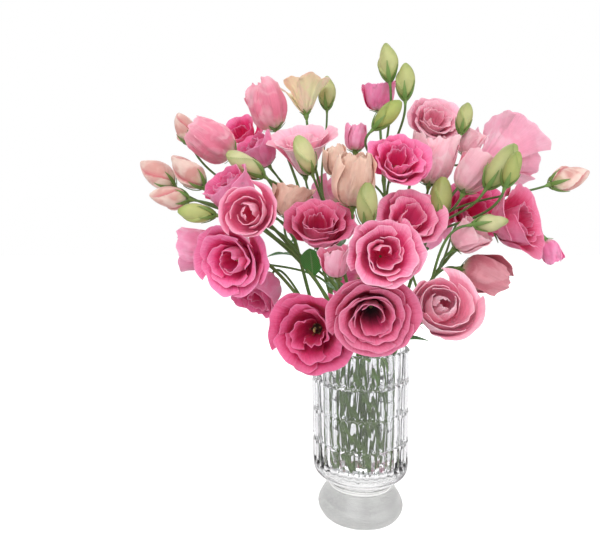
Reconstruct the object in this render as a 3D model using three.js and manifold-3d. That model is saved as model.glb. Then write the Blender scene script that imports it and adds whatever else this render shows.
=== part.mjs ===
// A vase of pink double lisianthus: a footed pressed-glass vase, its water, branching flower stems,
// and a bloom or a bud at the end of every branch.
// Millimetres, +Z up. The origin is the centre of the foot's flat base, and the front is -Y.

import * as THREE from 'three';
import Module from 'manifold-3d';

const wasm = await Module();
wasm.setup();

// ---------------------------------------------------------------- driving dimensions

// foot is the outside of the vase below its wall and floor the inside's rounded bottom, as
// [radius, z] from the foot's flat base upwards and from the wall downwards.
const VASE = {
  height: 162,
  mouthRadius: 48.5,
  shoulderRadius: 46.5,
  shoulderZ: 47,
  foot: [[38, 0], [41.5, 5], [41, 11], [37.5, 18], [31, 29], [40.5, 38]],
  wall: 4.5,
  straightTo: 62,
  floor: [[38, 48], [30, 42]],
  floorZ: 41,
  flutes: 36,
  fluteDepth: 1.3,
  grooves: [75, 104, 133],
  grooveDepth: 2.2,
  grooveHalf: 2.2,
};

const WATER_TOP = 128;
const GAP = 0.3;

// The cut stems lean in a spiral: each runs straight from its foot in the water up to the mouth.
const STEM = {
  footZ: 48,
  mouthZ: 168,
  spiral: 110,
  thick: 1.9,
  thin: 1.4,
  sides: 5,
  rows: 5,
};
const BRANCH = { radius: 1.2, sides: 4, rows: 3 };
const SLACK = [0.3, 0.3];
const RINGS = {
  outer: { foot: 28, mouth: 38 },
  inner: { foot: 13, mouth: 21 },
};

// A petal's sides end sooner than its middle by round, and whorls differ in size by vary.
const PETAL = { thick: 0.7, round: 0.2, vary: 0.06 };
// A leaf's half width is base at its stalk and tip at its point, and bulge puts it widest two
// fifths of the way along. keel lifts its edges and droop bends it down.
const LEAF = {
  thick: 0.7, base: 1.2, tip: 0.6, bulge: 0.75, keel: 0.22, droop: 0.28, columns: 2, rows: 3,
};
// Under a head: the calyx's length and radius, the share of that radius under a green bud, and its
// waist, the valleys between its sepals and its top as [share of the radius, height].
const CALYX = { length: 7, radius: 3.6, green: 0.7, waist: [0.85, -3], valley: [1, -1.2], top: 0.95 };
const SEPAL = { reach: 0.27, clear: 2.2 };
const RIDGE = 0.12;

// Each kind of head has its whorls from the outside in. A whorl's profile is a cubic curve of
// radius and height from base to lip, in units of half the head's width. centre is the height of
// the point that places the head, and columns are the strips across a petal.
const KINDS = {
  open: {
    centre: 0.72,
    columns: 3,
    whorls: [
      { rows: 2, turn: 0, profile: [[0.05, 0.03], [0.8, 0.03], [0.62, 0.62], [1, 0.74]] },
      { rows: 1, turn: 36, profile: [[0.04, 0.1], [0.5, 0.14], [0.34, 0.8], [0.58, 0.9]] },
    ],
  },
  rose: {
    centre: 0.85,
    columns: 3,
    whorls: [
      { rows: 2, turn: 0, profile: [[0.06, 0.03], [1, 0.03], [0.85, 0.75], [1, 0.85]] },
      { rows: 1, turn: 36, profile: [[0.05, 0.1], [0.62, 0.15], [0.6, 0.9], [0.5, 1]] },
    ],
  },
  cup: {
    centre: 1,
    columns: 2,
    whorls: [
      { rows: 2, turn: 0, profile: [[0.06, 0.03], [0.95, 0.05], [0.85, 0.95], [0.95, 1.5]] },
    ],
  },
  tulip: {
    centre: 1.2,
    columns: 2,
    whorls: [
      { rows: 2, turn: 0, profile: [[0.08, 0.03], [1.2, 0.1], [1.25, 1.6], [0.6, 2.4]] },
    ],
  },
  funnel: {
    centre: 1.2,
    columns: 3,
    whorls: [
      { rows: 2, turn: 0, profile: [[0.05, 0.03], [0.35, 0.2], [0.5, 0.95], [1, 1.25]] },
    ],
  },
  bud: {
    centre: 1.6,
    whorls: [{ profile: [[0.25, 0.03], [1.5, 0.6], [0.9, 2.4], [0.12, 3.2]] }],
  },
  green: {
    centre: 2,
    whorls: [{ profile: [[0.25, 0.03], [1.5, 0.8], [0.9, 3], [0.15, 4]] }],
  },
};

// A bloom has this many petals in a whorl, with a cleft of so many degrees to either side of
// each, and they are joined in a ring up to this share of their length.
const LOBES = 5;
const CLEFT = 1.5;
const RING_SHARE = 0.22;

const TINTS = {
  deep: 0xd83a78,
  rose: 0xe56a98,
  pale: 0xf0a3bf,
  cream: 0xe8c4ae,
};

// at is the head's centre, face is the way it opens, and width is measured across it.
const HEADS = {
  bloom_01: { kind: 'open', at: [-51, -67, 187], face: [-3, -10, 0], width: 74, tint: 'deep' },
  bloom_02: { kind: 'open', at: [-3, -96, 204], face: [-1, -10, -3], width: 68, tint: 'deep' },
  bloom_03: { kind: 'open', at: [3, -115, 254], face: [0, -10, 1], width: 56, tint: 'deep' },
  bloom_04: { kind: 'rose', at: [63, -66, 211], face: [0, -9, 4], width: 62, tint: 'rose' },
  bloom_05: { kind: 'rose', at: [-104, -80, 289], face: [-2, -10, 0], width: 48, tint: 'rose', columns: 2 },
  bloom_06: { kind: 'open', at: [-123, -44, 248], face: [-4, -10, -2], width: 69, tint: 'deep' },
  bloom_07: { kind: 'cup', at: [-167, 0, 258], face: [-10, -2, -1], width: 50, tint: 'rose' },
  bloom_08: { kind: 'cup', at: [-101, -8, 215], face: [-4, -6, -6], width: 49, tint: 'deep' },
  bloom_09: { kind: 'open', at: [-43, -48, 282], face: [0, -7, 7], width: 63, tint: 'deep', columns: 2 },
  bloom_10: { kind: 'open', at: [44, -30, 287], face: [1, -9, 4], width: 63, tint: 'rose', columns: 2 },
  bloom_11: { kind: 'open', at: [32, -32, 341], face: [1, -9, 4], width: 59, tint: 'deep', columns: 2 },
  bloom_12: { kind: 'open', at: [85, 34, 398], face: [1, -9, 4], width: 58, tint: 'pale', columns: 2 },
  bloom_13: { kind: 'cup', at: [-125, -36, 313], face: [-5, -5, 6], width: 48, tint: 'deep' },
  bloom_14: { kind: 'tulip', at: [-97, 45, 415], face: [-4, -1, 9], width: 43, tint: 'rose' },
  bloom_15: { kind: 'tulip', at: [-148, 0, 366], face: [-9, -2, 4], width: 40, tint: 'rose' },
  bloom_16: { kind: 'funnel', at: [-59, 8, 371], face: [-1, -5, 7], width: 69, tint: 'pale' },
  bloom_17: { kind: 'open', at: [-128, 75, 397], face: [-3, -8, 4], width: 54, tint: 'deep', columns: 2 },
  bloom_18: { kind: 'cup', at: [-106, 28, 365], face: [-5, -5, 6], width: 42, tint: 'deep' },
  bloom_19: { kind: 'cup', at: [22, 20, 422], face: [-1, -3, 9], width: 36, tint: 'deep' },
  bloom_20: { kind: 'tulip', at: [-5, -5, 369], face: [0, -1, 9], width: 22, tint: 'rose' },
  bloom_21: { kind: 'funnel', at: [175, 56, 369], face: [8, 3, 5], width: 90, tint: 'pale' },
  bloom_22: { kind: 'open', at: [150, -25, 285], face: [6, -7, 2], width: 77, tint: 'rose', columns: 2 },
  bloom_23: { kind: 'open', at: [128, 36, 299], face: [1, -9, 2], width: 71, tint: 'deep', columns: 2 },
  bloom_24: { kind: 'tulip', at: [206, 30, 257], face: [3, -1, -8], width: 22, tint: 'deep' },
  bloom_25: { kind: 'tulip', at: [118, -22, 233], face: [7, -3, -2], width: 40, tint: 'pale' },
  bloom_26: { kind: 'cup', at: [95, -43, 271], face: [5, -4, 5], width: 36, tint: 'pale' },
  bloom_27: { kind: 'tulip', at: [-31, -75, 247], face: [-2, -3, 9], width: 22, tint: 'pale' },
  bloom_28: { kind: 'tulip', at: [74, 4, 348], face: [1, -2, 9], width: 40, tint: 'pale' },
  bloom_29: { kind: 'cup', at: [117, 17, 373], face: [3, -2, 9], width: 33, tint: 'cream' },
  bloom_30: { kind: 'tulip', at: [-13, -55, 318], face: [0, -3, 9], width: 38, tint: 'cream' },
  bloom_31: { kind: 'tulip', at: [-26, -18, 343], face: [-2, -1, 9], width: 24, tint: 'cream' },
  bloom_32: { kind: 'cup', at: [-69, -5, 311], face: [2, -2, 9], width: 43, tint: 'cream' },
  bloom_33: { kind: 'funnel', at: [-57, 58, 446], face: [-1, 0, 9], width: 59, tint: 'cream' },
  bloom_34: { kind: 'tulip', at: [105, -22, 331], face: [4, -2, 9], width: 33, tint: 'pale' },
  bloom_35: { kind: 'open', at: [-143, 78, 249], face: [-4, 10, 1], width: 66, tint: 'rose', columns: 1 },
  bloom_36: { kind: 'open', at: [20, 105, 215], face: [0, 10, -1], width: 70, tint: 'deep', columns: 1 },
  bloom_37: { kind: 'open', at: [85, 85, 285], face: [5, 10, 2], width: 64, tint: 'rose', columns: 1 },
  bloom_38: { kind: 'cup', at: [-20, 85, 320], face: [-1, 9, 5], width: 52, tint: 'pale' },
  bud_01: { kind: 'bud', at: [-182, 25, 387], face: [-4, 1, 9], width: 22, tint: 'cream' },
  bud_02: { kind: 'bud', at: [-203, 0, 334], face: [-8, 0, 6], width: 25, tint: 'cream' },
  bud_03: { kind: 'bud', at: [-169, -15, 334], face: [-7, -1, 7], width: 25, tint: 'cream' },
  bud_04: { kind: 'bud', at: [-185, -22, 308], face: [-9, -1, 1], width: 22, tint: 'pale' },
  bud_05: { kind: 'bud', at: [213, 5, 331], face: [9, 0, 3], width: 25, tint: 'cream' },
  green_01: { kind: 'green', at: [-154, -45, 291], face: [-9, -1, 1], width: 16 },
  green_02: { kind: 'green', at: [-113, -20, 340], face: [-8, -1, 5], width: 20 },
  green_03: { kind: 'green', at: [-56, -45, 344], face: [-4, -5, 9], width: 18 },
  green_04: { kind: 'green', at: [-28, 84, 446], face: [0, 0, 9], width: 19 },
  green_05: { kind: 'green', at: [26, -8, 443], face: [-1, 0, 9], width: 18 },
  green_06: { kind: 'green', at: [42, -14, 422], face: [0, 0, 9], width: 17 },
  green_07: { kind: 'green', at: [23, -25, 386], face: [7, -1, 7], width: 17 },
  green_08: { kind: 'green', at: [106, 4, 392], face: [2, 0, 9], width: 15 },
  green_09: { kind: 'green', at: [-4, -74, 296], face: [0, -2, 9], width: 18 },
  green_10: { kind: 'green', at: [76, -14, 308], face: [1, -1, 9], width: 21 },
  green_11: { kind: 'green', at: [120, -48, 333], face: [5, -1, 8], width: 22 },
  green_12: { kind: 'green', at: [123, -62, 328], face: [3, -1, 9], width: 15 },
  green_13: { kind: 'green', at: [105, -62, 281], face: [9, -1, 1], width: 14 },
};

// A stem passes the mouth at turn degrees on its ring and ends in the first head it bears. Every
// other head, and every leaf, leaves the stalk at the given share of the way from the mouth to
// that first head.
const SPRAYS = [
  {
    ring: 'outer', turn: 200,
    bears: { bloom_06: 1, bloom_07: 0.35, bloom_08: 0.2 },
    leaves: [{ share: 0.25, way: [-5, 5, 6], length: 44, width: 17 }],
  },
  {
    ring: 'inner', turn: 215,
    bears: { bloom_05: 1, bloom_13: 0.45, green_01: 0.5, bud_04: 0.3 },
    leaves: [{ share: 0.42, way: [-3, -16, 34], length: 42, width: 20 }],
  },
  {
    ring: 'outer', turn: 160,
    bears: { bloom_15: 1, bud_01: 0.45, bud_02: 0.4, bud_03: 0.5 },
    leaves: [{ share: 0.4, way: [-8, 6, 3], length: 46, width: 16 }],
  },
  {
    ring: 'inner', turn: 150,
    bears: { bloom_14: 1, bloom_17: 0.5, bloom_18: 0.4, green_02: 0.65 },
    leaves: [{ share: 0.45, way: [-6, 8, 3], length: 48, width: 18 }],
  },
  {
    ring: 'inner', turn: 90,
    bears: { bloom_33: 1, bloom_16: 0.45, green_03: 0.3, green_04: 0.6 },
    leaves: [{ share: 0.4, way: [1, 8, 5], length: 46, width: 17 }],
  },
  {
    ring: 'outer', turn: 240,
    bears: { bloom_01: 1, bloom_27: 0.4 },
    leaves: [{ share: 0.3, way: [-8, -1, 2], length: 34, width: 15 }],
  },
  {
    ring: 'outer', turn: 275,
    bears: { bloom_03: 1, bloom_02: 0.3, green_09: 0.6 },
    leaves: [{ share: 0.05, way: [1, -6, 3], length: 30, width: 14 }],
  },
  {
    ring: 'outer', turn: 312,
    bears: { bloom_04: 1, bloom_10: 0.5, green_13: 0.4 },
    leaves: [{ share: 0.08, way: [7, -2, 3], length: 34, width: 15 }],
  },
  {
    ring: 'inner', turn: 260,
    bears: { bloom_09: 1, bloom_32: 0.5 },
    leaves: [{ share: 0.5, way: [-2, 8, 4], length: 40, width: 16 }],
  },
  {
    ring: 'inner', turn: 320,
    bears: { bloom_19: 1, bloom_11: 0.5, bloom_30: 0.4, bloom_31: 0.5, bloom_20: 0.6,
      green_05: 0.7, green_06: 0.7, green_07: 0.7 },
  },
  {
    ring: 'inner', turn: 25, slack: [0.3, 0.12],
    bears: { bloom_12: 1, bloom_28: 0.5, bloom_29: 0.8, green_08: 0.85, green_10: 0.4 },
    leaves: [{ share: 0.3, way: [-1, 7, 6], length: 44, width: 16 }],
  },
  {
    ring: 'outer', turn: 15,
    bears: { bloom_21: 1, bloom_34: 0.6, green_11: 0.55, green_12: 0.5, bud_05: 0.6 },
    leaves: [{ share: 0.45, way: [2, 8, 4], length: 48, width: 18 }],
  },
  {
    ring: 'outer', turn: 345,
    bears: { bloom_22: 1, bloom_24: 0.6, bloom_25: 0.3, bloom_26: 0.5, bloom_23: 0.5 },
    leaves: [{ share: 0.4, way: [9, -1, -1], length: 55, width: 17 }],
  },
  {
    ring: 'outer', turn: 85,
    bears: { bloom_36: 1, bloom_37: 0.4 },
    leaves: [{ share: 0.2, way: [7, 5, 2], length: 44, width: 17 }],
  },
  {
    ring: 'outer', turn: 125,
    bears: { bloom_38: 1, bloom_35: 0.3 },
    leaves: [{ share: 0.35, way: [2, 8, 4], length: 44, width: 17 }],
  },
];

// ---------------------------------------------------------------- solids

const UP = new THREE.Vector3(0, 0, 1);
const vec = (a) => new THREE.Vector3(a[0], a[1], a[2]);
const along = (p, way, far) => p.clone().addScaledVector(way, far);
const polar = (radius, degrees, z) => {
  const a = THREE.MathUtils.degToRad(degrees);
  return new THREE.Vector3(radius * Math.cos(a), radius * Math.sin(a), z);
};

// A closed solid from points and triangles, turned outside out where its volume is negative.
function solid(points, faces) {
  const make = (list) => new wasm.Manifold(new wasm.Mesh({
    numProp: 3,
    vertProperties: new Float32Array(points.flatMap((p) => [p.x, p.y, p.z])),
    triVerts: new Uint32Array(list.flat()),
  }));
  const made = make(faces);
  return made.volume() > 0 ? made : make(faces.map(([a, b, c]) => [a, c, b]));
}

// Joins rings of points, each as long as the next or twice or half as long, and closes both ends.
// A ring of one point is a pole.
function loft(rings) {
  const points = rings.flat();
  const starts = rings.map((_, i) => rings.slice(0, i).flat().length);
  const faces = [];
  for (let i = 0; i + 1 < rings.length; i += 1) {
    const [low, high] = [rings[i].length, rings[i + 1].length];
    const most = Math.max(low, high);
    const at = (ring, n, k) => starts[ring] + (n === most ? k % n : Math.floor((k * n) / most + 0.5) % n);
    for (let k = 0; k < most; k += 1) {
      const a = at(i, low, k);
      const b = at(i, low, k + 1);
      const c = at(i + 1, high, k + 1);
      const d = at(i + 1, high, k);
      if (a !== b) faces.push([a, b, c]);
      if (c !== d) faces.push([a, c, d]);
    }
  }
  const fan = (ring, flip) => {
    for (let k = 1; k + 1 < rings[ring].length; k += 1) {
      const [a, b, c] = [starts[ring], starts[ring] + k, starts[ring] + k + 1];
      faces.push(flip ? [a, c, b] : [a, b, c]);
    }
  };
  fan(0, true);
  fan(rings.length - 1, false);
  return solid(points, faces);
}

// The rings of a tapering tube through points, with the radius given at each.
function tubeRings(points, radii, sides) {
  let across = new THREE.Vector3(1, 0.3, 0.1);
  return points.map((p, i) => {
    const before = points[Math.max(0, i - 1)];
    const after = points[Math.min(points.length - 1, i + 1)];
    const way = after.clone().sub(before).normalize();
    across = across.clone().addScaledVector(way, -across.dot(way)).normalize();
    const other = way.clone().cross(across);
    return Array.from({ length: sides }, (_, k) => {
      const a = (2 * Math.PI * k) / sides;
      return along(along(p, across, radii[i] * Math.cos(a)), other, radii[i] * Math.sin(a));
    });
  });
}

const join = (solids) => solids.reduce((a, b) => a.add(b));

function meshOf(name, made, material) {
  const { vertProperties, triVerts } = made.getMesh();
  const geometry = new THREE.BufferGeometry();
  geometry.setAttribute('position', new THREE.BufferAttribute(vertProperties, 3));
  geometry.setIndex(new THREE.BufferAttribute(triVerts, 1));
  const mesh = new THREE.Mesh(geometry, material);
  mesh.name = name;
  return mesh;
}

// ---------------------------------------------------------------- heads

// The frame of a head: its base, the way it opens, and two ways across.
function frameOf(head) {
  const way = vec(head.face).normalize();
  const scale = head.width / 2;
  const side = Math.abs(way.z) > 0.95 ? new THREE.Vector3(1, 0, 0) : UP.clone().cross(way).normalize();
  const other = way.clone().cross(side).normalize();
  side.copy(other).cross(way);
  const base = along(vec(head.at), way, -KINDS[head.kind].centre * scale);
  return { way, side, other, base, scale };
}

// The point of a head's frame at a radius, an angle in radians and a height.
function placed(frame, radius, angle, height) {
  return frame.base.clone()
    .addScaledVector(frame.side, radius * Math.cos(angle))
    .addScaledVector(frame.other, radius * Math.sin(angle))
    .addScaledVector(frame.way, height);
}

// The cubic through a whorl's four profile points, as [radius, height] in units of half the width.
function profileAt(profile, t) {
  const u = 1 - t;
  const w = [u * u * u, 3 * u * u * t, 3 * u * t * t, t * t * t];
  return [0, 1].map((axis) => profile.reduce((sum, p, i) => sum + w[i] * p[axis], 0));
}

// A profile's point at t with the way out of it there, square to the profile.
function profileNormal(profile, t) {
  const [[r0, h0], [r1, h1]] = [profileAt(profile, t - 0.01), profileAt(profile, t + 0.01)];
  const far = Math.hypot(r1 - r0, h1 - h0);
  return { radius: (r0 + r1) / 2, height: (h0 + h1) / 2, out: [(h1 - h0) / far, (r0 - r1) / far] };
}

// A bloom as one closed body. The petals of a whorl join in a ring near its base and stand apart
// above it, and each inner whorl grows from the outer one's floor.
function bloomSolid(head) {
  const frame = frameOf(head);
  const { whorls } = KINDS[head.kind];
  const columns = head.columns ?? KINDS[head.kind].columns;
  const count = LOBES * columns;
  const points = [];
  const faces = [];
  const add = (radius, angle, height) => points.push(placed(frame, radius, angle, height)) - 1;
  const quad = (a, b, c, d) => faces.push([a, b, c], [a, c, d]);

  // A point of a petal's face at s across and t along; side 1 is the outer face and -1 the inner.
  const petalPoint = (whorl, lobe, s, t, side) => {
    const reach = t * (1 - PETAL.round * s * s * (t - RING_SHARE));
    const { radius, height, out } = profileNormal(whorl.profile, reach);
    const off = (side * PETAL.thick) / 2;
    const vary = PETAL.vary * t * t * Math.sin(5 * lobe + whorl.turn + head.width);
    const cleft = t > RING_SHARE ? CLEFT : 0;
    const angle = whorl.turn + (360 * lobe) / LOBES + s * (180 / LOBES - cleft);
    return add(
      radius * (1 + vary) * frame.scale + off * out[0],
      THREE.MathUtils.degToRad(angle),
      height * (1 + vary) * frame.scale + off * out[1]);
  };

  let floor = null;
  whorls.forEach((whorl) => {
    const [outer, inner] = [1, -1].map((side) => Array.from({ length: count }, (_, k) => (
      petalPoint(whorl, Math.floor(k / columns), (2 * (k % columns)) / columns - 1, RING_SHARE, side))));
    const base = floor ?? [add(0, 0, 0)];
    for (let k = 0; k < count; k += 1) {
      const next = (k + 1) % count;
      if (floor) quad(base[k], base[next], outer[next], outer[k]);
      else faces.push([base[0], outer[next], outer[k]]);
    }
    for (let lobe = 0; lobe < LOBES; lobe += 1) {
      let [low, under] = [outer, inner].map((ring) => (
        Array.from({ length: columns + 1 }, (_, c) => ring[(lobe * columns + c) % count])));
      for (let row = 1; row <= whorl.rows; row += 1) {
        const t = RING_SHARE + ((1 - RING_SHARE) * row) / whorl.rows;
        const [high, over] = [1, -1].map((side) => Array.from({ length: columns + 1 }, (_, c) => (
          petalPoint(whorl, lobe, (2 * c) / columns - 1, t, side))));
        for (let c = 0; c < columns; c += 1) {
          quad(low[c], low[c + 1], high[c + 1], high[c]);
          faces.push([under[c], over[c + 1], under[c + 1]], [under[c], over[c], over[c + 1]]);
          if (row === whorl.rows) quad(high[c], high[c + 1], over[c + 1], over[c]);
        }
        quad(under[0], low[0], high[0], over[0]);
        quad(low[columns], under[columns], over[columns], high[columns]);
        [low, under] = [high, over];
      }
    }
    floor = inner;
  });
  const pistil = add(0, 0, 0.5 * frame.scale);
  for (let k = 0; k < count; k += 1) faces.push([floor[k], floor[(k + 1) % count], pistil]);
  return solid(points, faces);
}

// A level ring of a head's frame: its points stand at the given radii in turn.
const headRing = (frame, radii, height, count, from = 0) => Array.from({ length: count }, (_, k) => (
  placed(frame, radii[k % radii.length], from + (2 * Math.PI * k) / count, height)));

// The rings of a rolled bud: a pointed oval whose ridges wind round it.
function budRings(head, sides, rows, from = 0) {
  const frame = frameOf(head);
  const { profile } = KINDS[head.kind].whorls[0];
  const rings = Array.from({ length: rows }, (_, j) => {
    const t = j / rows;
    const [radius, height] = profileAt(profile, t).map((x) => x * frame.scale);
    const valley = radius * (1 - RIDGE * Math.sin(Math.PI * t));
    return headRing(frame, [radius, valley], height, sides, from + t);
  });
  return [...rings, [placed(frame, 0, 0, profileAt(profile, 1)[1] * frame.scale)]];
}

// The rings of the green cup under a head: it flares to a star of pointed sepals, which stand a
// little clear of the petals, and closes again under the head. first is the stalk's last ring.
function calyxRings(head, first) {
  const frame = frameOf(head);
  const { profile } = KINDS[head.kind].whorls[0];
  const count = 2 * first.length;
  const spoke = first[0].clone().sub(frame.base);
  const from = Math.atan2(spoke.dot(frame.other), spoke.dot(frame.side));
  const { radius: r, height: h, out } = profileNormal(profile, SEPAL.reach);
  const [tip, rise] = [r * frame.scale + SEPAL.clear * out[0], h * frame.scale + SEPAL.clear * out[1]];
  const radius = CALYX.radius * (head.kind === 'green' ? CALYX.green : 1);
  const [[waist, waistZ], [valley, valleyZ]] = [CALYX.waist, CALYX.valley];
  const star = Array.from({ length: count }, (_, k) => {
    const angle = from + (2 * Math.PI * k) / count;
    return k % 2 ? placed(frame, radius * valley, angle, valleyZ) : placed(frame, tip, angle, rise);
  });
  const rings = [headRing(frame, [radius * waist], waistZ, count, from), star];
  if (head.kind === 'green') return [...rings, ...budRings(head, first.length, 3, from)];
  return [...rings, headRing(frame, [radius * CALYX.top], -GAP, count, from)];
}

// ---------------------------------------------------------------- stems

function mouthLine(spray) {
  const ring = RINGS[spray.ring];
  const foot = polar(ring.foot, spray.turn - STEM.spiral, STEM.footZ);
  const mouth = polar(ring.mouth, spray.turn, STEM.mouthZ);
  return { foot, mouth, way: mouth.clone().sub(foot).normalize() };
}

// The point where a head's stalk ends, just under its calyx, and the way it runs there.
function stalkEnd(head) {
  const frame = frameOf(head);
  return { point: along(frame.base, frame.way, -CALYX.length), way: frame.way };
}

function curveTo(start, startWay, end, endWay, slack) {
  const far = start.distanceTo(end);
  return new THREE.CubicBezierCurve3(
    start, along(start, startWay, slack[0] * far), along(end, endWay, -slack[1] * far), end);
}

// A stalk along points from one radius to another, with its head's calyx on the end.
function stalkSolid(points, radii, sides, head) {
  const rings = tubeRings(points, radii, sides);
  return loft([...rings, ...calyxRings(head, rings.at(-1))]);
}

// A leaf as a thin closed blade: pointed, widest two fifths of the way along, keeled along its
// middle, and drooping towards its tip. Both faces are split into triangles alike.
function leafSolid(start, leaf) {
  const way = vec(leaf.way).normalize();
  const across = way.clone().cross(UP).normalize();
  const { columns, rows } = LEAF;
  const points = [];
  const faces = [];
  const surface = (s, t) => {
    const swell = (leaf.width / 2) * Math.sin(Math.PI * t ** LEAF.bulge);
    const half = LEAF.base * (1 - t) + LEAF.tip * t + swell;
    const middle = along(along(start, way, leaf.length * t), UP, -LEAF.droop * leaf.length * t * t);
    return along(along(middle, across, s * half), UP, LEAF.keel * half * s * s);
  };
  const index = (side, row, column) => (side * (rows + 1) + row) * (columns + 1) + column;
  [LEAF.thick / 2, -LEAF.thick / 2].forEach((lift) => {
    for (let row = 0; row <= rows; row += 1) {
      for (let c = 0; c <= columns; c += 1) {
        points.push(along(surface((2 * c) / columns - 1, row / rows), across.clone().cross(way), lift));
      }
    }
  });
  const quad = (a, b, c, d) => faces.push([a, b, c], [a, c, d]);
  for (let row = 0; row < rows; row += 1) {
    for (let c = 0; c < columns; c += 1) {
      quad(index(0, row, c), index(0, row, c + 1), index(0, row + 1, c + 1), index(0, row + 1, c));
      faces.push([index(1, row, c), index(1, row + 1, c + 1), index(1, row, c + 1)]);
      faces.push([index(1, row, c), index(1, row + 1, c), index(1, row + 1, c + 1)]);
    }
    quad(index(0, row, 0), index(0, row + 1, 0), index(1, row + 1, 0), index(1, row, 0));
    const edge = [index(0, row, columns), index(1, row, columns), index(1, row + 1, columns)];
    quad(index(0, row + 1, columns), ...edge);
  }
  for (let c = 0; c < columns; c += 1) {
    quad(index(0, 0, c + 1), index(0, 0, c), index(1, 0, c), index(1, 0, c + 1));
    quad(index(0, rows, c), index(0, rows, c + 1), index(1, rows, c + 1), index(1, rows, c));
  }
  return solid(points, faces);
}

function spraySolid(spray) {
  const { foot, mouth, way } = mouthLine(spray);
  const [[lead], ...others] = Object.entries(spray.bears);
  const end = stalkEnd(HEADS[lead]);
  const curve = curveTo(mouth, way, end.point, end.way, spray.slack ?? SLACK);
  const spine = curve.getPoints(STEM.rows);
  const taper = spine.map((_, i) => STEM.thick + ((STEM.thin - STEM.thick) * i) / STEM.rows);
  const stalk = stalkSolid([foot, ...spine], [STEM.thick, ...taper], STEM.sides, HEADS[lead]);
  const fork = (share) => {
    const k = Math.min(Math.floor(share * STEM.rows), STEM.rows - 1);
    return spine[k].clone().lerp(spine[k + 1], share * STEM.rows - k);
  };
  const branches = others.map(([name, share]) => {
    const tip = stalkEnd(HEADS[name]);
    const branch = curveTo(fork(share), curve.getTangent(share), tip.point, tip.way, SLACK);
    const points = branch.getPoints(BRANCH.rows);
    return stalkSolid(points, points.map(() => BRANCH.radius), BRANCH.sides, HEADS[name]);
  });
  const leaves = (spray.leaves ?? []).map((leaf) => leafSolid(fork(leaf.share), leaf));
  return join([stalk, ...branches, ...leaves]);
}

// ---------------------------------------------------------------- vase and water

// A level ring of the fluted wall: every second point is a crest, and the others lie in the valleys.
function flutedRing(radius, depth, z) {
  return Array.from({ length: 2 * VASE.flutes }, (_, k) => (
    polar(radius - (k % 2 ? depth : 0), (180 * k) / VASE.flutes, z)));
}
const plainRing = (radius, z) => Array.from({ length: VASE.flutes }, (_, k) => (
  polar(radius, (360 * k) / VASE.flutes, z)));

function bodyRadius(z) {
  const rise = (z - VASE.shoulderZ) / (VASE.height - VASE.shoulderZ);
  return VASE.shoulderRadius + (VASE.mouthRadius - VASE.shoulderRadius) * rise;
}

// The inner wall from the mouth down to the rounded floor, as [radius, z].
const INSIDE = [
  [VASE.mouthRadius - VASE.wall, VASE.height],
  [VASE.shoulderRadius - VASE.wall, VASE.straightTo],
  ...VASE.floor,
];

function vaseSolid() {
  const foot = VASE.foot.map(([radius, z]) => plainRing(radius, z));
  const { grooveHalf: half, grooveDepth: cut, fluteDepth: depth } = VASE;
  const body = [flutedRing(bodyRadius(VASE.shoulderZ), depth, VASE.shoulderZ)];
  VASE.grooves.forEach((z) => {
    body.push(flutedRing(bodyRadius(z), depth, z - half));
    body.push(plainRing(bodyRadius(z) - cut, z));
    body.push(flutedRing(bodyRadius(z), depth, z + half));
  });
  body.push(flutedRing(bodyRadius(VASE.height), depth, VASE.height));
  const inside = INSIDE.map(([radius, z]) => plainRing(radius, z));
  return loft([...foot, ...body, ...inside, [new THREE.Vector3(0, 0, VASE.floorZ)]]);
}

function waterSolid() {
  const gap = GAP / Math.cos(Math.PI / VASE.flutes);
  const [mouth, wall, ...floor] = INSIDE;
  const slope = (mouth[0] - wall[0]) / (mouth[1] - wall[1]);
  const rings = floor.reverse().map(([radius, z]) => plainRing(radius - gap, z + GAP));
  rings.push(plainRing(wall[0] - gap, wall[1]));
  rings.push(plainRing(wall[0] - gap + slope * (WATER_TOP - wall[1]), WATER_TOP));
  const water = loft([[new THREE.Vector3(0, 0, VASE.floorZ + GAP)], ...rings]);
  return SPRAYS.reduce((left, spray) => {
    const { foot, mouth: top, way } = mouthLine(spray);
    const hole = STEM.thick + GAP / Math.cos(Math.PI / STEM.sides);
    return left.subtract(loft(tubeRings([along(foot, way, -GAP), top], [hole, hole], STEM.sides)));
  }, water);
}

// ---------------------------------------------------------------- the object

const material = (color, roughness, extra = {}) => new THREE.MeshStandardMaterial({
  color, roughness, metalness: 0, ...extra });
const GLASS = material(0xeef0f2, 0.05, { transparent: true, opacity: 0.35 });
const LIQUID = material(0xdfe8df, 0.02, { transparent: true, opacity: 0.3 });
const STALK = material(0x55703f, 0.55);

const arrangement = new THREE.Group();
arrangement.add(meshOf('vase', vaseSolid(), GLASS));
arrangement.add(meshOf('water', waterSolid(), LIQUID));
SPRAYS.forEach((spray, i) => {
  arrangement.add(meshOf(`stem_${String(i + 1).padStart(2, '0')}`, spraySolid(spray), STALK));
});
Object.entries(HEADS).forEach(([name, head]) => {
  if (head.kind === 'green') return;
  const made = head.kind === 'bud' ? loft(budRings(head, 2 * LOBES, 4)) : bloomSolid(head);
  arrangement.add(meshOf(name, made, material(TINTS[head.tint], 0.6)));
});

export default arrangement;
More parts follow.
